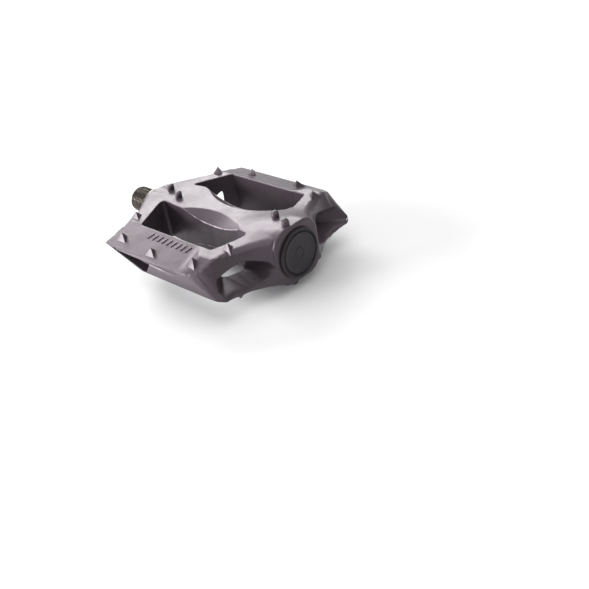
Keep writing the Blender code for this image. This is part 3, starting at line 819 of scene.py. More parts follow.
def hub_bore():
    """The stepped hole through the hub, for the cups, the shaft and the end cap."""
    over = 0.0020
    return turned(
        "bore",
        [
            (HUB_INNER_X - over, 0.0),
            (HUB_INNER_X - over, CUP_BORE),
            (INNER_CUP_END_X, CUP_BORE),
            (INNER_CUP_END_X, SHAFT_BORE),
            (OUTER_CUP_START_X, SHAFT_BORE),
            (OUTER_CUP_START_X, CUP_BORE),
            (CAP_SEAT_X, CUP_BORE),
            (CAP_SEAT_X, CAP_BORE),
            (HUB_OUTER_X + over, CAP_BORE),
            (HUB_OUTER_X + over, 0.0),
        ],
    )


def cap_boss():
    """The rounded square end of the hub, with its rim eased."""
    rings = []
    for x, half, corner in (  # corner is the radius
        (0.0285, 0.0128, 0.0085),
        (0.0330, 0.0146, 0.0090),
        (0.0385, 0.0152, 0.0092),
        (0.0426, 0.0152, 0.0092),
        (0.0432, 0.0149, 0.0090),
        (0.0435, 0.0143, 0.0088),
    ):
        square = [(a * half, b * half, corner) for a, b in ((-1, -1), (1, -1), (1, 1), (-1, 1))]
        rings.append((x, rounded_outline(square, math.radians(7.5))))
    return across_axle("boss", rings)


def crank_nose():
    """The round end of the hub beside the crank."""
    profile = [
        (HUB_INNER_X, 0.0),
        (HUB_INNER_X, 0.0106),
        (HUB_INNER_X + 0.0010, 0.0112),
        (-0.0500, 0.0112),
        (-0.0500, 0.0),
    ]
    return turned("nose", profile)


def platform_skin(grain):
    """The moulded body as one even skin, with its edges eased."""
    slab = combined(crowned_slab(), [prism("plan", platform_outline())], "INTERSECT")
    for vert in slab.vertices:
        vert.co = lean(vert.co)
    solid = combined(slab, [cap_boss(), crank_nose()], "UNION")
    cuts = [prism("window", rounded_outline(facet["window"])) for facet in FACETS]
    cuts += shoulder_facets()
    for side in (1, -1):
        cuts.append(rail_pocket(side))
        opening = REAR_OPENING if side > 0 else OUTBOARD_OPENING
        cuts.append(arm_opening(opening, side, OUTBOARD_SOFTENING))
        cuts.append(arm_opening(CRANK_OPENING, side, CRANK_SOFTENING))
    cuts.append(hub_bore())
    solid = combined(solid, cuts, "DIFFERENCE")
    blank = scratch_object("skin", solid)
    skin = blank.modifiers.new("skin", "REMESH")
    skin.mode = "VOXEL"
    skin.voxel_size = grain
    skin.adaptivity = 0.0
    skin.use_smooth_shade = True
    ease = blank.modifiers.new("ease", "SMOOTH")
    ease.factor = SKIN_EASE
    ease.iterations = SKIN_EASE_STEPS
    mesh = eased_boss(baked_mesh(blank, "platform"))
    mesh = combined(mesh, rail_slots(1) + rail_slots(-1), "DIFFERENCE")
    mesh.shade_smooth()
    return mesh


def eased_boss(mesh):
    """The skin with the hollows beside the cap's boss filled out, and thinned to its budget."""
    blank = scratch_object("skin", mesh)
    group = blank.vertex_groups.new(name="hollows")
    for vert in mesh.vertices:
        across = math.hypot(vert.co.y, vert.co.z)
        near = smooth_step(1 - abs(vert.co.x - HOLLOW_X) / HOLLOW_REACH)
        near *= smooth_step((across - HOLLOW_RADIUS) / HOLLOW_FADE)
        if near > 0.01:
            group.add([vert.index], near, "REPLACE")
    fillet = blank.modifiers.new("fillet", "SMOOTH")
    fillet.factor = HOLLOW_EASE
    fillet.iterations = HOLLOW_EASE_STEPS
    fillet.vertex_group = "hollows"
    thin = blank.modifiers.new("thin", "DECIMATE")
    thin.ratio = min(1.0, FACE_BUDGET / (2 * len(mesh.polygons)))
    return baked_mesh(blank, "platform")


def upright_to_underside(x, y):
    """Where a point of the upright underside lands once the platform leans."""
    return lean(Vector((x, y, -tread_height(x, y, below=True))))


def spike_mesh(bm, place, radius, height):
    """A three-sided pyramid with eased edges, its foot sunk in the tread."""
    total = height + STUD_SINK
    foot = radius * total / height
    before = set(bm.verts)
    bmesh.ops.create_cone(
        bm,
        cap_ends=True,
        segments=3,
        radius1=foot,
        radius2=SPIKE_TIP_RADIUS,
        depth=total,
    )
    verts = [vert for vert in bm.verts if vert not in before]
    sides = []
    for edge in edges_of(verts):
        low, high = edge.verts
        if abs(high.co.z - low.co.z) > total / 2:
            sides.append(edge)
    bmesh.ops.bevel(
        bm,
        geom=sides,
        offset=SPIKE_EDGE,
        segments=3,
        affect="EDGES",
        profile=0.5,
        clamp_overlap=True,
    )
    verts = [vert for vert in bm.verts if vert not in before]
    bmesh.ops.translate(bm, vec=(0, 0, height - total / 2), verts=verts)
    bmesh.ops.transform(bm, matrix=place, verts=verts)


def post_mesh(bm, place, radius, height):
    """A round post with an eased rim and a tip that leans to one side."""
    steps = 32
    rise, shoulder = POST_TIP_RISE, height * 0.8
    rings = [(-STUD_SINK, 1.0), (0.0, 1.0), (shoulder, 0.97), (height, 0.93)]
    rings += [(height + rise * 0.18, 0.84), (height + rise * 0.62, 0.40)]
    rows = []
    for level, scale in rings:
        slide = max(level - shoulder, 0.0) / (rise + height * 0.2) * radius * 0.5
        row = []
        for step in range(steps):
            angle = 2 * math.pi * step / steps
            u, v = radius * scale * math.cos(angle), radius * scale * math.sin(angle)
            row.append(bm.verts.new(place @ Vector((slide + u, v, level))))
        rows.append(row)
    tip = bm.verts.new(place @ Vector((radius * 0.5, 0, height + rise * 0.8)))
    join_rows(bm, rows)
    bm.faces.new(rows[0])
    for step in range(steps):
        bm.faces.new((rows[-1][step - 1], rows[-1][step], tip))


def stud_place(x, y, turn, below):
    """The matrix that stands a stud on the tread or on the underside."""
    spin = Matrix.Rotation(math.radians(turn), 4, "Z")
    if not below:
        return Matrix.Translation((x, y, tread_height(x, y))) @ spin
    foot = Matrix.Translation(upright_to_underside(x, y))
    return foot @ Matrix.Rotation(math.pi, 4, "X") @ spin


def spike_places():
    """The matrix of each spike, on the tread and then on the underside."""
    for x, y, turn in TREAD_SPIKES:
        yield stud_place(x, y, turn, False)
    for x, y, turn in UNDER_ARM_SPIKES:
        for side in (1, -1):
            yield stud_place(x, side * y, -turn * side, True)
    for x, y, turn in UNDER_RAIL_SPIKES:
        yield stud_place(x, y, -turn, True)


def shoulder_ridge(facet):
    """Points along the ridge where a sloped shoulder meets its window's wall."""
    found = []
    centre = Vector(facet["centre"])
    slope = facet_slope(facet)
    outline = rounded_outline(facet["window"])
    for near, far in zip(outline, outline[1:] + outline[:1]):
        for step in range(RIDGE_STEPS):
            spot = Vector(near).lerp(Vector(far), step / RIDGE_STEPS)
            height = FACET_FOOT_Z + ((spot - centre).length - facet["foot"]) / slope
            inside = abs(spot.y) < facet["reach_y"] and RIDGE_START_X < spot.x < facet["reach_x"]
            if inside and height < tread_height(spot.x, spot.y) - RIDGE_CLEARANCE:
                found.append(Vector((spot.x, spot.y, height)))
    return sorted(found, key=lambda point: point.x)


def bead_mesh(bm, ridge, face):
    """A thin uneven flash of plastic left along a ridge by the mould."""
    sides = 8
    fine_wave, broad_wave = BEAD_WAVES
    rows = []
    for index, point in enumerate(ridge):
        ends = min(1.0, 6 * index / len(ridge), 6 * (len(ridge) - 1 - index) / len(ridge))
        uneven = 0.78 + 0.22 * math.sin(fine_wave * point.x) * math.sin(broad_wave * point.x + 1.0)
        radius = BEAD_END_RADIUS + BEAD_RADIUS * ends * uneven
        row = []
        for side in range(sides):
            angle = 2 * math.pi * side / sides
            spot = point + Vector((0, radius * math.cos(angle), radius * math.sin(angle)))
            row.append(bm.verts.new((spot.x, spot.y, face * spot.z)))
        rows.append(row)
    join_rows(bm, rows)
    bm.faces.new(rows[0])
    bm.faces.new(rows[-1])


# ---------------------------------------------------------------- finishes
SHEEN_DEPTH, SHEEN_STEEPNESS = 0.0016, 1200  # a painted sheen on the rails' outer faces starts this far inside them
RUB_GAIN = 2.2  # how much brighter rubbed steel is


class Signal:
    """A shader value that can be used in a Python expression."""

    def __init__(self, finish, socket):
        self.finish = finish
        self.socket = socket

    def __add__(self, other):
        return self.finish.maths("ADD", self, other)

    def __radd__(self, other):
        return self.finish.maths("ADD", other, self)

    def __sub__(self, other):
        return self.finish.maths("SUBTRACT", self, other)

    def __rsub__(self, other):
        return self.finish.maths("SUBTRACT", other, self)

    def __mul__(self, other):
        return self.finish.maths("MULTIPLY", self, other)

    def __rmul__(self, other):
        return self.finish.maths("MULTIPLY", other, self)

    def __abs__(self):
        return self.finish.maths("ABSOLUTE", self)

    def clamped(self, low=0.0, high=1.0):
        return self.finish.maths("MINIMUM", self.finish.maths("MAXIMUM", self, low), high)


class Finish:
    """A material being made: its node tree and its Principled shader."""

    def __init__(self, name):
        self.material = bpy.data.materials.new(name)
        self.material.use_nodes = True
        self.tree = self.material.node_tree
        self.shader = self.tree.nodes["Principled BSDF"]

    def feed(self, socket, value):
        """Links a signal to a socket, or sets the socket's own value."""
        if isinstance(value, Signal):
            self.tree.links.new(value.socket, socket)
        elif isinstance(value, (tuple, list)) and len(socket.default_value) == 4:
            socket.default_value = (*value[:3], 1.0)
        else:
            socket.default_value = value

    def node(self, kind, settings, sockets, output=0):
        """Adds a node: its settings come first, then its sockets by name or by number.

        A colour ramp's setting is stops, a list of (place, grey level).
        """
        made = self.tree.nodes.new(kind)
        for key, value in settings.items():
            if key == "stops":
                points = made.color_ramp.elements
                while len(points) < len(value):
                    points.new(1.0)
                for point, (place, level) in zip(points, value):
                    point.position = place
                    point.color = (level, level, level, 1.0)
            else:
                setattr(made, key, value)
        for key, value in sockets.items():
            self.feed(made.inputs[key], value)
        return Signal(self, made.outputs[output])

    def maths(self, operation, *values):
        return self.node("ShaderNodeMath", {"operation": operation}, dict(enumerate(values)))

    def vector_maths(self, operation, *values, output="Vector"):
        settings = {"operation": operation}
        return self.node("ShaderNodeVectorMath", settings, dict(enumerate(values)), output)

    def ramp(self, factor, stops):
        """A grey ramp through (place, grey level) stops."""
        return self.node("ShaderNodeValToRGB", {"stops": stops}, {0: factor})

    def mix(self, factor, one, two):
        sockets = {"Factor": factor, "A": one, "B": two}
        return self.node("ShaderNodeMix", {"data_type": "RGBA"}, sockets, "Result")

    def place(self):
        """Where a point is, in metres."""
        return self.node("ShaderNodeTexCoord", {}, {}, "Object")

    def part(self, axis, vector):
        """One part of a vector: X, Y or Z."""
        return self.node("ShaderNodeSeparateXYZ", {}, {"Vector": vector}, axis)

    def stretched(self, place, scale):
        """The place scaled along each axis, which draws a pattern out where the scale is low."""
        return self.node("ShaderNodeMapping", {}, {"Vector": place, "Scale": scale})

    def cloud(self, place, size, detail=3.0, roughness=0.5):
        """Noise from 0 to 1 whose spots are about the given size across, in metres."""
        sockets = {"Vector": place, "Scale": 1.0 / size, "Detail": detail, "Roughness": roughness}
        return self.node("ShaderNodeTexNoise", {}, sockets)

    def bump(self, height, distance, strength, under=None):
        """A normal whose relief is a distance deep, laid over another normal where one is given."""
        sockets = {"Height": height, "Distance": distance, "Strength": strength}
        if under:
            sockets["Normal"] = under
        return self.node("ShaderNodeBump", {}, sockets)

    def surface(self, **values):
        """Feeds the shader's sockets by name, with _ for a space, and gives the material."""
        for key, value in values.items():
            self.feed(self.shader.inputs[key.replace("_", " ")], value)
        return self.material


def nylon_finish(settings):
    """Moulded nylon: satin, faintly mottled, with dust and scuffs on what faces up, and a painted
    sheen on the rails' outer faces.
    """
    finish = Finish("satin_nylon")
    place = finish.place()
    broad = finish.cloud(place, 0.020, detail=2.0)
    patch = finish.cloud(place, 0.0042, detail=5.0, roughness=0.62)
    specks = finish.ramp(finish.cloud(place, 0.0009, detail=2.0), [(0.62, 0.0), (0.74, 1.0)])
    streak = finish.stretched(place, (0.16, 1.0, 1.0))
    scratch = finish.cloud(streak, 0.0011, detail=6.0, roughness=0.7)
    scratches = finish.ramp(scratch, [(0.60, 0.0), (0.66, 1.0)])
    upward = finish.part("Z", finish.node("ShaderNodeNewGeometry", {}, {}, "Normal")).clamped()
    # painted sheen: the rails' outer faces are painted paler nylon, mottled like scuffs, standing
    # in for the light that they catch
    rails = (abs(finish.part("Y", place)) - (RAIL_Y - SHEEN_DEPTH)) * SHEEN_STEEPNESS
    rail_sheen = rails.clamped() * (0.35 + patch * 0.4)
    wear_and_sheen = upward * (0.30 + patch * 0.35) + broad * 0.22 + specks * 0.10 + scratches * upward * 0.12
    # the dust and scuffs, with the painted sheen of the rails added to them
    wear_and_sheen = (wear_and_sheen + rail_sheen).clamped()
    gloss = patch * 0.20 + broad * 0.16 - scratches * 0.06 + specks * 0.08
    finish.surface(
        Base_Color=finish.mix(wear_and_sheen, tuple(settings.nylon), tuple(settings.worn_and_sheen_nylon)),
        Roughness=(settings.sheen - 0.18 + gloss).clamped(0.2, 0.8),
        Specular_Tint=(1.0, 0.88, 0.97),
    )
    waves = finish.cloud(place, 0.0085, detail=1.0)
    grain = finish.cloud(place, 0.00034)
    soft = finish.bump(waves, 0.00060, 0.35)
    fine = finish.bump(grain - scratches * 0.8, 0.000022, 0.55, under=soft)
    return finish.surface(Normal=fine)


def flash_finish(settings):
    """Trimmed nylon of the mould flash, with a painted highlight: patches of it are painted far
    paler, standing in for the light that the ridge catches.
    """
    finish = Finish("flash_painted_highlight")
    highlight_cloud = finish.cloud(finish.place(), 0.0012)
    # painted highlight: where this mask is high, the flash takes the far paler colour
    stretched = finish.ramp(highlight_cloud, [(0.40, 0.0), (0.56, 1.0)])
    painted_highlight = tuple(5.0 * channel for channel in settings.worn_and_sheen_nylon)
    return finish.surface(
        Base_Color=finish.mix(stretched, tuple(settings.worn_and_sheen_nylon), painted_highlight),
        Roughness=0.30 + highlight_cloud * 0.2,
    )


def cap_finish(settings):
    """Smoother, darker plastic with a fine turned grain."""
    finish = Finish("cap_plastic")
    place = finish.place()
    patch = finish.cloud(place, 0.0030, detail=4.0)
    fine = finish.cloud(place, 0.00028)
    dark = tuple(0.42 * channel for channel in settings.nylon)
    dusty = tuple(0.70 * channel for channel in settings.nylon)
    return finish.surface(
        Base_Color=finish.mix(patch, dark, dusty),
        Roughness=0.34 + patch * 0.12,
        Specular_IOR_Level=0.28,
        Normal=finish.bump(fine, 0.00002, 0.5),
    )


def steel_finish(name, colour, roughness, stain, metallic=1.0, rub=None):
    """Machined steel: fine turned lines round the axle, and patches of darker oil or oxide.

    Where rub gives two radii, the steel is rubbed bright between them, as on a thread's crests.
    """
    finish = Finish(name)
    place = finish.place()
    patch = finish.cloud(place, 0.0032, detail=5.0, roughness=0.65)
    turning = finish.cloud(finish.stretched(place, (1.0, 0.02, 0.02)), 0.00022, detail=2.0)
    shade = finish.ramp(patch, [(0.35, 0.0), (0.70, 1.0)])
    dark = tuple(channel * (1 - stain) for channel in colour)
    base = finish.mix(shade, dark, tuple(colour))
    if rub:
        from_axis = finish.vector_maths("SUBTRACT", place, (0, AXIS.y, AXIS.z))
        across = finish.vector_maths("MULTIPLY", from_axis, (0, 1, 1))
        reach = finish.vector_maths("LENGTH", across, output="Value")
        bright = ((reach - rub[0]) * (1 / (rub[1] - rub[0]))).clamped()
        base = finish.mix(bright, base, tuple(RUB_GAIN * channel for channel in colour))
    return finish.surface(
        Base_Color=base,
        Roughness=(roughness + patch * 0.16 + turning * 0.06 - 0.08).clamped(0.05, 0.9),
        Metallic=metallic,
        Normal=finish.bump(turning, 0.00003, 0.5),
    )


def rubber_finish():
    """Dull rubber with dust in it."""
    finish = Finish("seal_rubber")
    dust = finish.cloud(finish.place(), 0.0016, detail=5.0)
    return finish.surface(
        Base_Color=finish.mix(dust, (0.012, 0.012, 0.012), (0.040, 0.038, 0.036)),
        Roughness=0.62 + dust * 0.2,
        Normal=finish.bump(dust, 0.00005, 0.5),
    )


def floor_finish(colour):
    """Matt pale paint, very slightly cloudy."""
    finish = Finish("pale_floor")
    cloud = finish.cloud(finish.place(), 0.25, detail=2.0)
    dim = tuple(0.985 * channel for channel in colour)
    return finish.surface(
        Base_Color=finish.mix(cloud, dim, tuple(colour)),
        Roughness=0.75 + cloud * 0.1,
        Specular_IOR_Level=0.15,
    )


def shared_material(name, make):
    """The material of that name, made the first time that it is wanted."""
    return bpy.data.materials.get(name) or make()


def satin_nylon(settings):
    """The finish of the platform, its studs and its ribs."""
    return shared_material("satin_nylon", lambda: nylon_finish(settings))


def oiled_steel(settings):
    """The finish of the spindle and its cone."""
    name = "oiled_steel"
    return shared_material(
        name,
        lambda: steel_finish(name, settings.steel, 0.34, 0.5, metallic=0.85, rub=RUBBED_RADII),
    )


# ---------------------------------------------------------------- axle shapes
def thread_radius(x, angle, pitch):
    """Radius of a left-hand thread at a point of the crank end."""
    turn = (x / pitch + angle / (2 * math.pi)) % 1.0
    crest = min(1.0, 2.3 * min(turn, 1.0 - turn))
    run_in = min(1.0, (x - THREAD_END_X) / THREAD_LEAD_IN)
    run_out = min(1.0, max(COLLAR_START_X - THREAD_GAP - x, 0.0) / THREAD_LEAD_OUT)
    cut = THREAD_ROOT + (THREAD_RADIUS - THREAD_ROOT) * crest
    return min(cut, THREAD_ROOT - 0.0005 + 0.0011 * run_in + 0.0004 * run_in * run_out)


def spindle_mesh(pitch, flats):
    """The axle: a helical crank thread, a collar with two flats, and the stepped shaft."""
    end, race = THREAD_END_X, 0.0063
    turn = [2 * math.pi * step / SPINDLE_STEPS for step in range(SPINDLE_STEPS)]
    tip = [(end + 0.0016, 0.0010), (end, 0.0026), (end, THREAD_ROOT - 0.0006)]  # drilled centre
    plain = [
        (COLLAR_START_X - CHAMFER, THREAD_RADIUS),
        (COLLAR_START_X, THREAD_RADIUS),
        (COLLAR_START_X, COLLAR_RADIUS - CHAMFER),
        (COLLAR_START_X + CHAMFER, COLLAR_RADIUS),
        (COLLAR_END_X - CHAMFER, COLLAR_RADIUS),
        (COLLAR_END_X, COLLAR_RADIUS - CHAMFER),
        (COLLAR_END_X, race),
        (-0.0606, race),
        (-0.0576, 0.0048),
        (0.0190, 0.0045),
        (0.0248, 0.0045),
        (0.0250, 0.0040),
        (0.0386, 0.0040),
        (0.0392, 0.0034),
    ]
    rows = [[(end + 0.0020, 0.0)]]
    rows += [[spot] * SPINDLE_STEPS for spot in tip]
    x = end + 0.0001
    while x < COLLAR_START_X - THREAD_GAP:
        rows.append([(x, thread_radius(x, angle, pitch)) for angle in turn])
        x += pitch / 12
    rows += [[spot] * SPINDLE_STEPS for spot in plain]
    rows.append([(plain[-1][0], 0.0)])
    cuts = []
    reach = 0.0100
    for side in (1, -1):
        near, far = sorted((side * flats / 2, side * reach))
        outline = [(-reach, near), (reach, near), (reach, far), (-reach, far)]
        cuts.append(across_axle("flat", [(-0.0660, outline), (COLLAR_END_X + 0.0010, outline)]))
    mesh = combined(wrapped("spindle", rows), cuts, "DIFFERENCE")
    smooth_by_angle(mesh, 32)
    return mesh


def hexagonal(mesh, across, low, high, turn=0.0):
    """The mesh trimmed to a six-sided bar along the axle."""
    corner = across / math.sqrt(3)
    angles = [turn + math.radians(60 * step) for step in range(6)]
    outline = [(corner * math.cos(angle), corner * math.sin(angle)) for angle in angles]
    return combined(mesh, [across_axle("bar", [(low, outline), (high, outline)])], "INTERSECT")


def ball_ring_mesh(name, x):
    """A ring of loose balls round the axle."""
    bm = bmesh.new()
    for index in range(BALL_COUNT):
        angle = 2 * math.pi * index / BALL_COUNT
        y, z = BALL_CIRCLE * math.cos(angle), BALL_CIRCLE * math.sin(angle)
        spot = Matrix.Translation((x, y, z))
        bmesh.ops.create_icosphere(bm, subdivisions=3, radius=BALL_RADIUS, matrix=spot)
    mesh = mesh_from(bm, name)
    mesh.shade_smooth()
    return mesh


def turned_piece(name, profile, body, material, replaced, trim=None):
    """Shows a turned part with eased edges, trimmed to a six-sided bar where trim is given."""
    mesh = turned(name, softened(profile))
    if trim:
        mesh = hexagonal(mesh, *trim)
    smooth_by_angle(mesh, 32)
    add_piece(name, mesh, body, material, replaced)


# ---------------------------------------------------------------- operators
class PEDAL_OT_platform(bpy.types.Operator):
    """Build the moulded platform with its windows, openings, pockets and pad"""

    bl_idname = "pedal.platform"
    bl_label = "Platform"

    def execute(self, context):
        settings = context.scene.pedal_platform
        mesh = platform_skin(settings.grain)
        if not mesh.polygons:
            raise RuntimeError("the platform's shape came out empty")
        nylon = satin_nylon(settings)
        add_piece("platform", mesh, "platform", nylon, ["platform_body"])
        return {"FINISHED"}


class PEDAL_OT_spikes(bpy.types.Operator):
    """Build the three-sided spikes of the tread and the underside"""

    bl_idname = "pedal.spikes"
    bl_label = "Spikes"

    def execute(self, context):
        settings = context.scene.pedal_platform
        bm = bmesh.new()
        for place in spike_places():
            spike_mesh(bm, place, settings.spike_radius, settings.spike_height)
        mesh = mesh_from(bm, "spikes")
        smooth_by_angle(mesh, 30)
        add_piece("spikes", mesh, "platform", satin_nylon(settings))
        return {"FINISHED"}


class PEDAL_OT_posts(bpy.types.Operator):
    """Build the short round posts on the hub"""

    bl_idname = "pedal.posts"
    bl_label = "Posts"

    def execute(self, context):
        settings = context.scene.pedal_platform
        bm = bmesh.new()
        for below in (False, True):
            for index, (x, y) in enumerate(POSTS):
                place = stud_place(x, y, 30 + 40 * index, below)
                post_mesh(bm, place, settings.post_radius, settings.post_height)
        mesh = mesh_from(bm, "posts")
        smooth_by_angle(mesh, 40)
        add_piece("posts", mesh, "platform", satin_nylon(settings))
        return {"FINISHED"}


class PEDAL_OT_mould_flash(bpy.types.Operator):
    """Build the thin flash left along the ridges of the spine's shoulders"""

    bl_idname = "pedal.mould_flash"
    bl_label = "Mould flash"

    def execute(self, context):
        settings = context.scene.pedal_platform
        bm = bmesh.new()
        for facet in FACETS:
            ridge = shoulder_ridge(facet)
            if len(ridge) < 8:
                raise RuntimeError("a shoulder's ridge wasn't found")
            for face in (1, -1):
                bead_mesh(bm, ridge, face)
        mesh = mesh_from(bm, "mould_flash")
        mesh.shade_smooth()
        # the flash's finish carries a painted highlight along the ridge
        material = shared_material("flash_painted_highlight", lambda: flash_finish(settings))
        add_piece("mould_flash", mesh, "platform", material)
        return {"FINISHED"}


class PEDAL_OT_pad_ribs(bpy.types.Operator):
    """Build the plain slanted ribs on the pad"""

    bl_idname = "pedal.pad_ribs"
    bl_label = "Pad ribs"

    def execute(self, context):
        settings = context.scene.pedal_platform
        bm = bmesh.new()
        step = 0.001
        rise = tread_height(0, RIB_Y + step) - tread_height(0, RIB_Y - step)
        tilt = math.atan2(rise, 2 * step)
        slant = Matrix.Rotation(math.radians(RIB_SLANT), 4, "Z")
        shape = Matrix.Rotation(tilt, 4, "X") @ slant @ Matrix.Diagonal((*RIB_SIZE, 1.0))
        for index in range(RIB_COUNT):
            x = RIB_START_X + RIB_PITCH * index
            place = Matrix.Translation((x, RIB_Y, tread_height(x, RIB_Y))) @ shape
            made = bmesh.ops.create_cube(bm, size=1.0, matrix=place)
            bmesh.ops.bevel(
                bm,
                geom=edges_of(made["verts"]),
                offset=RIB_EDGE,
                segments=2,
                affect="EDGES",
                profile=0.5,
            )
        mesh = mesh_from(bm, "pad_ribs")
        smooth_by_angle(mesh, 30)
        add_piece("pad_ribs", mesh, "platform", satin_nylon(settings))
        return {"FINISHED"}


class PEDAL_OT_end_cap(bpy.types.Operator):
    """Build the pressed end cap with its ring grooves"""

    bl_idname = "pedal.end_cap"
    bl_label = "End cap"

    def execute(self, context):
        settings = context.scene.pedal_platform
        face, seat = CAP_FACE, HUB_OUTER_X + FIT_GAP
        plug, hollow = CAP_BORE - FIT_GAP, 0.0098
        profile = [
            (face - 0.00035, 0.0),
            (face - 0.00035, 0.0024),
            (face - 0.00010, 0.0026),
            (face - 0.00010, 0.0031),
            (face - 0.00035, 0.0033),
            (face - 0.00035, CAP_RING - 0.0022),
            (face - 0.00015, CAP_RING - 0.0016),
            (face - 0.00015, CAP_RING - 0.0008),
            (face - 0.00085, CAP_RING - 0.0004),
            (face - 0.00085, CAP_RING + 0.0001),
            (face, CAP_RING + 0.0005),
            (face, CAP_RADIUS - 0.0005),
            (face - 0.0004, CAP_RADIUS),
            (seat, CAP_RADIUS),
            (seat, plug),
            (CAP_SEAT_X + FIT_GAP, plug),
            (CAP_SEAT_X + FIT_GAP, hollow),
            (seat - 0.0006, hollow),
            (seat - 0.0006, 0.0),
        ]
        plastic = shared_material("cap_plastic", lambda: cap_finish(settings))
        turned_piece("end_cap_shell", profile, "platform", plastic, ["end_cap"])
        return {"FINISHED"}


class PEDAL_OT_spindle(bpy.types.Operator):
    """Build the axle with its helical crank thread and spanner flats"""

    bl_idname = "pedal.spindle"
    bl_label = "Spindle"

    def execute(self, context):
        settings = context.scene.pedal_axle
        mesh = spindle_mesh(settings.thread_pitch, settings.flats)
        steel = oiled_steel(settings)
        add_piece("spindle_steel", mesh, "axle", steel, ["spindle"])
        return {"FINISHED"}


class PEDAL_OT_bearings(bpy.types.Operator):
    """Build the cups, balls, seal, adjusting cone, washer and nut"""

    bl_idname = "pedal.bearings"
    bl_label = "Bearings"

    def execute(self, context):
        settings = context.scene.pedal_axle
        bright = shared_material(
            "polished_steel",
            lambda: steel_finish("polished_steel", settings.bright, 0.16, 0.15),
        )
        ground = shared_material(
            "ground_steel",
            lambda: steel_finish("ground_steel", (0.42, 0.41, 0.39), 0.28, 0.3),
        )
        black = oiled_steel(settings)
        rubber = shared_material("seal_rubber", rubber_finish)
        outer, wall, lip, bore = CUP_BORE - FIT_GAP, CUP_WALL, CUP_LIP, 0.0043
        for end, x, inward in (("inboard", -0.0584, 1), ("outboard", 0.0268, -1)):
            cup = [
                (x - inward * 0.0018, outer),
                (x - inward * 0.0018, wall),
                (x + inward * 0.0008, wall),
                (x + inward * 0.0019, lip + 0.0010),
                (x + inward * 0.0019, lip),
                (x + inward * 0.0029, lip),
                (x + inward * 0.0029, outer),
            ]
            name = f"{end}_cup_ring"
            turned_piece(name, cup, "platform", ground, [f"{end}_cup"])
            name = f"{end}_ball_ring"
            nodes = [f"{end}_ball_{index + 1}" for index in range(BALL_COUNT)]
            balls = ball_ring_mesh(name, x)
            add_piece(name, balls, f"{end}_balls", bright, nodes)
        start, stop = HUB_INNER_X - 0.0002, -0.0605
        seal = [(start, outer), (start, 0.0080), (start + 0.0008, 0.0069)]
        seal += [(stop, 0.0069), (stop, outer)]
        turned_piece("dust_seal", seal, "platform", rubber, ["inboard_seal"])
        cone = [(0.0258, bore), (0.0258, 0.0046), (0.0284, 0.0060), (0.0293, 0.0064)]
        cone += [(0.0293, 0.0075), (0.0322, 0.0075), (0.0322, bore)]
        nodes, trim = ["adjusting_cone"], (0.0130, 0.0100, 0.0332)
        turned_piece("bearing_cone", cone, "axle", black, nodes, trim)
        washer = [(0.0325, bore), (0.0325, 0.0068), (0.0335, 0.0068), (0.0335, bore)]
        turned_piece("flat_washer", washer, "axle", bright, ["lock_washer"])
        nut = [(0.0338, bore), (0.0338, 0.0062), (0.0343, 0.0071), (0.0373, 0.0071)]
        nut += [(0.0378, 0.0062), (0.0378, bore)]
        trim = (0.0120, 0.0300, 0.0390, math.radians(12))
        turned_piece("thin_nut", nut, "axle", bright, ["lock_nut"], trim)
        return {"FINISHED"}


def soft_light(light, power):
    """A soft rectangular light that faces the pedal."""
    name, place, size = light
    lamp = bpy.data.lights.new(name, "AREA")
    lamp.shape = "RECTANGLE"
    lamp.size, lamp.size_y = size
    lamp.energy = power
    made = bpy.data.objects.new(name, lamp)
    bpy.context.scene.collection.objects.link(made)
    made.location = place
    ray = Vector((0, 0, AXIS.z)) - Vector(place)
    made.rotation_euler = ray.to_track_quat("-Z", "Y").to_euler()


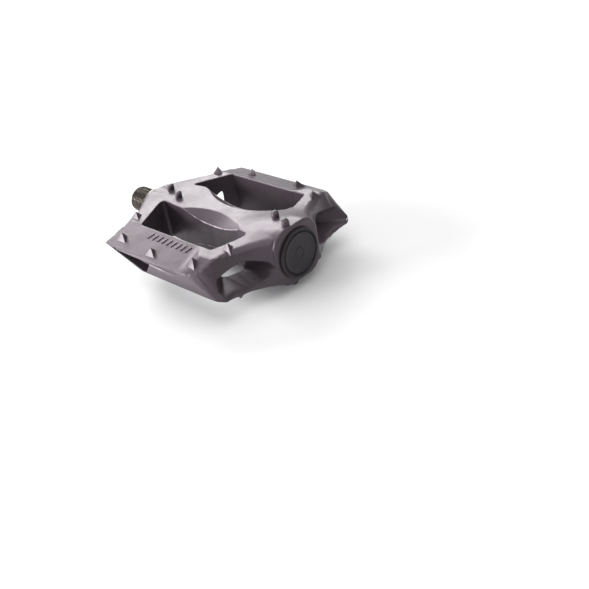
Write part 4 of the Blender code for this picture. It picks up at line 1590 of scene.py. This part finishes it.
class PEDAL_OT_stage(bpy.types.Operator):
    """Build the floor, the soft lights and the camera"""

    bl_idname = "pedal.stage"
    bl_label = "Stage"

    def execute(self, context):
        scene = context.scene
        settings = scene.pedal_stage
        bm = bmesh.new()
        bmesh.ops.create_grid(bm, x_segments=8, y_segments=8, size=FLOOR_HALF)
        floor = scratch_object("studio_floor", mesh_from(bm, "studio_floor"))
        floor.data.materials.append(floor_finish(settings.floor))
        floor.location.z = CAD_BOX[0].z
        soft_light(KEY_LIGHT, settings.key_power)
        soft_light(TOP_LIGHT, settings.top_power)
        soft_light(SIDE_LIGHT, settings.side_power)
        world = bpy.data.worlds.new("studio_air")
        world.use_nodes = True
        air = world.node_tree.nodes["Background"].inputs
        air["Color"].default_value = (1.0, 1.0, 1.0, 1.0)
        air["Strength"].default_value = settings.fill
        scene.world = world
        camera = bpy.data.objects.new("camera", bpy.data.cameras.new("camera"))
        scene.collection.objects.link(camera)
        camera.data.sensor_width = 36.0
        camera.data.lens = settings.lens
        camera.data.clip_start = 0.02
        roll = Matrix.Rotation(math.radians(CAMERA_ROLL), 3, "Z")
        turn = (CAMERA_AIM - CAMERA_STAND).to_track_quat("-Z", "Y").to_matrix() @ roll
        camera.matrix_world = Matrix.Translation(AXIS + CAMERA_STAND) @ turn.to_4x4()
        scene.camera = camera
        scene.view_settings.view_transform = "Standard"
        return {"FINISHED"}


class PEDAL_PT_panel(bpy.types.Panel):
    """Lists the pedal's pieces and their sizes"""

    bl_idname = "PEDAL_PT_panel"
    bl_label = "Flat pedal"
    bl_space_type = "VIEW_3D"
    bl_region_type = "UI"
    bl_category = "Pedal"

    def draw(self, context):
        layout = self.layout
        scene = context.scene
        for heading, settings, operators in (
            ("Platform", scene.pedal_platform, PLATFORM_STEPS),
            ("Axle", scene.pedal_axle, AXLE_STEPS),
            ("Stage", scene.pedal_stage, STAGE_STEPS),
        ):
            box = layout.box()
            box.label(text=heading)
            for name in settings.bl_rna.properties.keys():
                if name not in ("rna_type", "name"):
                    box.prop(settings, name)
            for operator in operators:
                box.operator(operator.bl_idname)


PLATFORM_STEPS = (
    PEDAL_OT_platform,
    PEDAL_OT_spikes,
    PEDAL_OT_posts,
    PEDAL_OT_mould_flash,
    PEDAL_OT_pad_ribs,
    PEDAL_OT_end_cap,
)
AXLE_STEPS = (PEDAL_OT_spindle, PEDAL_OT_bearings)
STAGE_STEPS = (PEDAL_OT_stage,)
SETTINGS = (
    ("pedal_platform", PlatformSettings),
    ("pedal_axle", AxleSettings),
    ("pedal_stage", StageSettings),
)


def register():
    for name, group in SETTINGS:
        bpy.utils.register_class(group)
        setattr(bpy.types.Scene, name, bpy.props.PointerProperty(type=group))
    for operator in PLATFORM_STEPS + AXLE_STEPS + STAGE_STEPS:
        bpy.utils.register_class(operator)
    bpy.utils.register_class(PEDAL_PT_panel)


def unregister():
    bpy.utils.unregister_class(PEDAL_PT_panel)
    for operator in reversed(PLATFORM_STEPS + AXLE_STEPS + STAGE_STEPS):
        bpy.utils.unregister_class(operator)
    for name, group in reversed(SETTINGS):
        delattr(bpy.types.Scene, name)
        bpy.utils.unregister_class(group)


def main():
    register()
    for operator in PLATFORM_STEPS + AXLE_STEPS + STAGE_STEPS:
        family, name = operator.bl_idname.split(".")
        getattr(getattr(bpy.ops, family), name)()


if __name__ == "__main__":
    main()
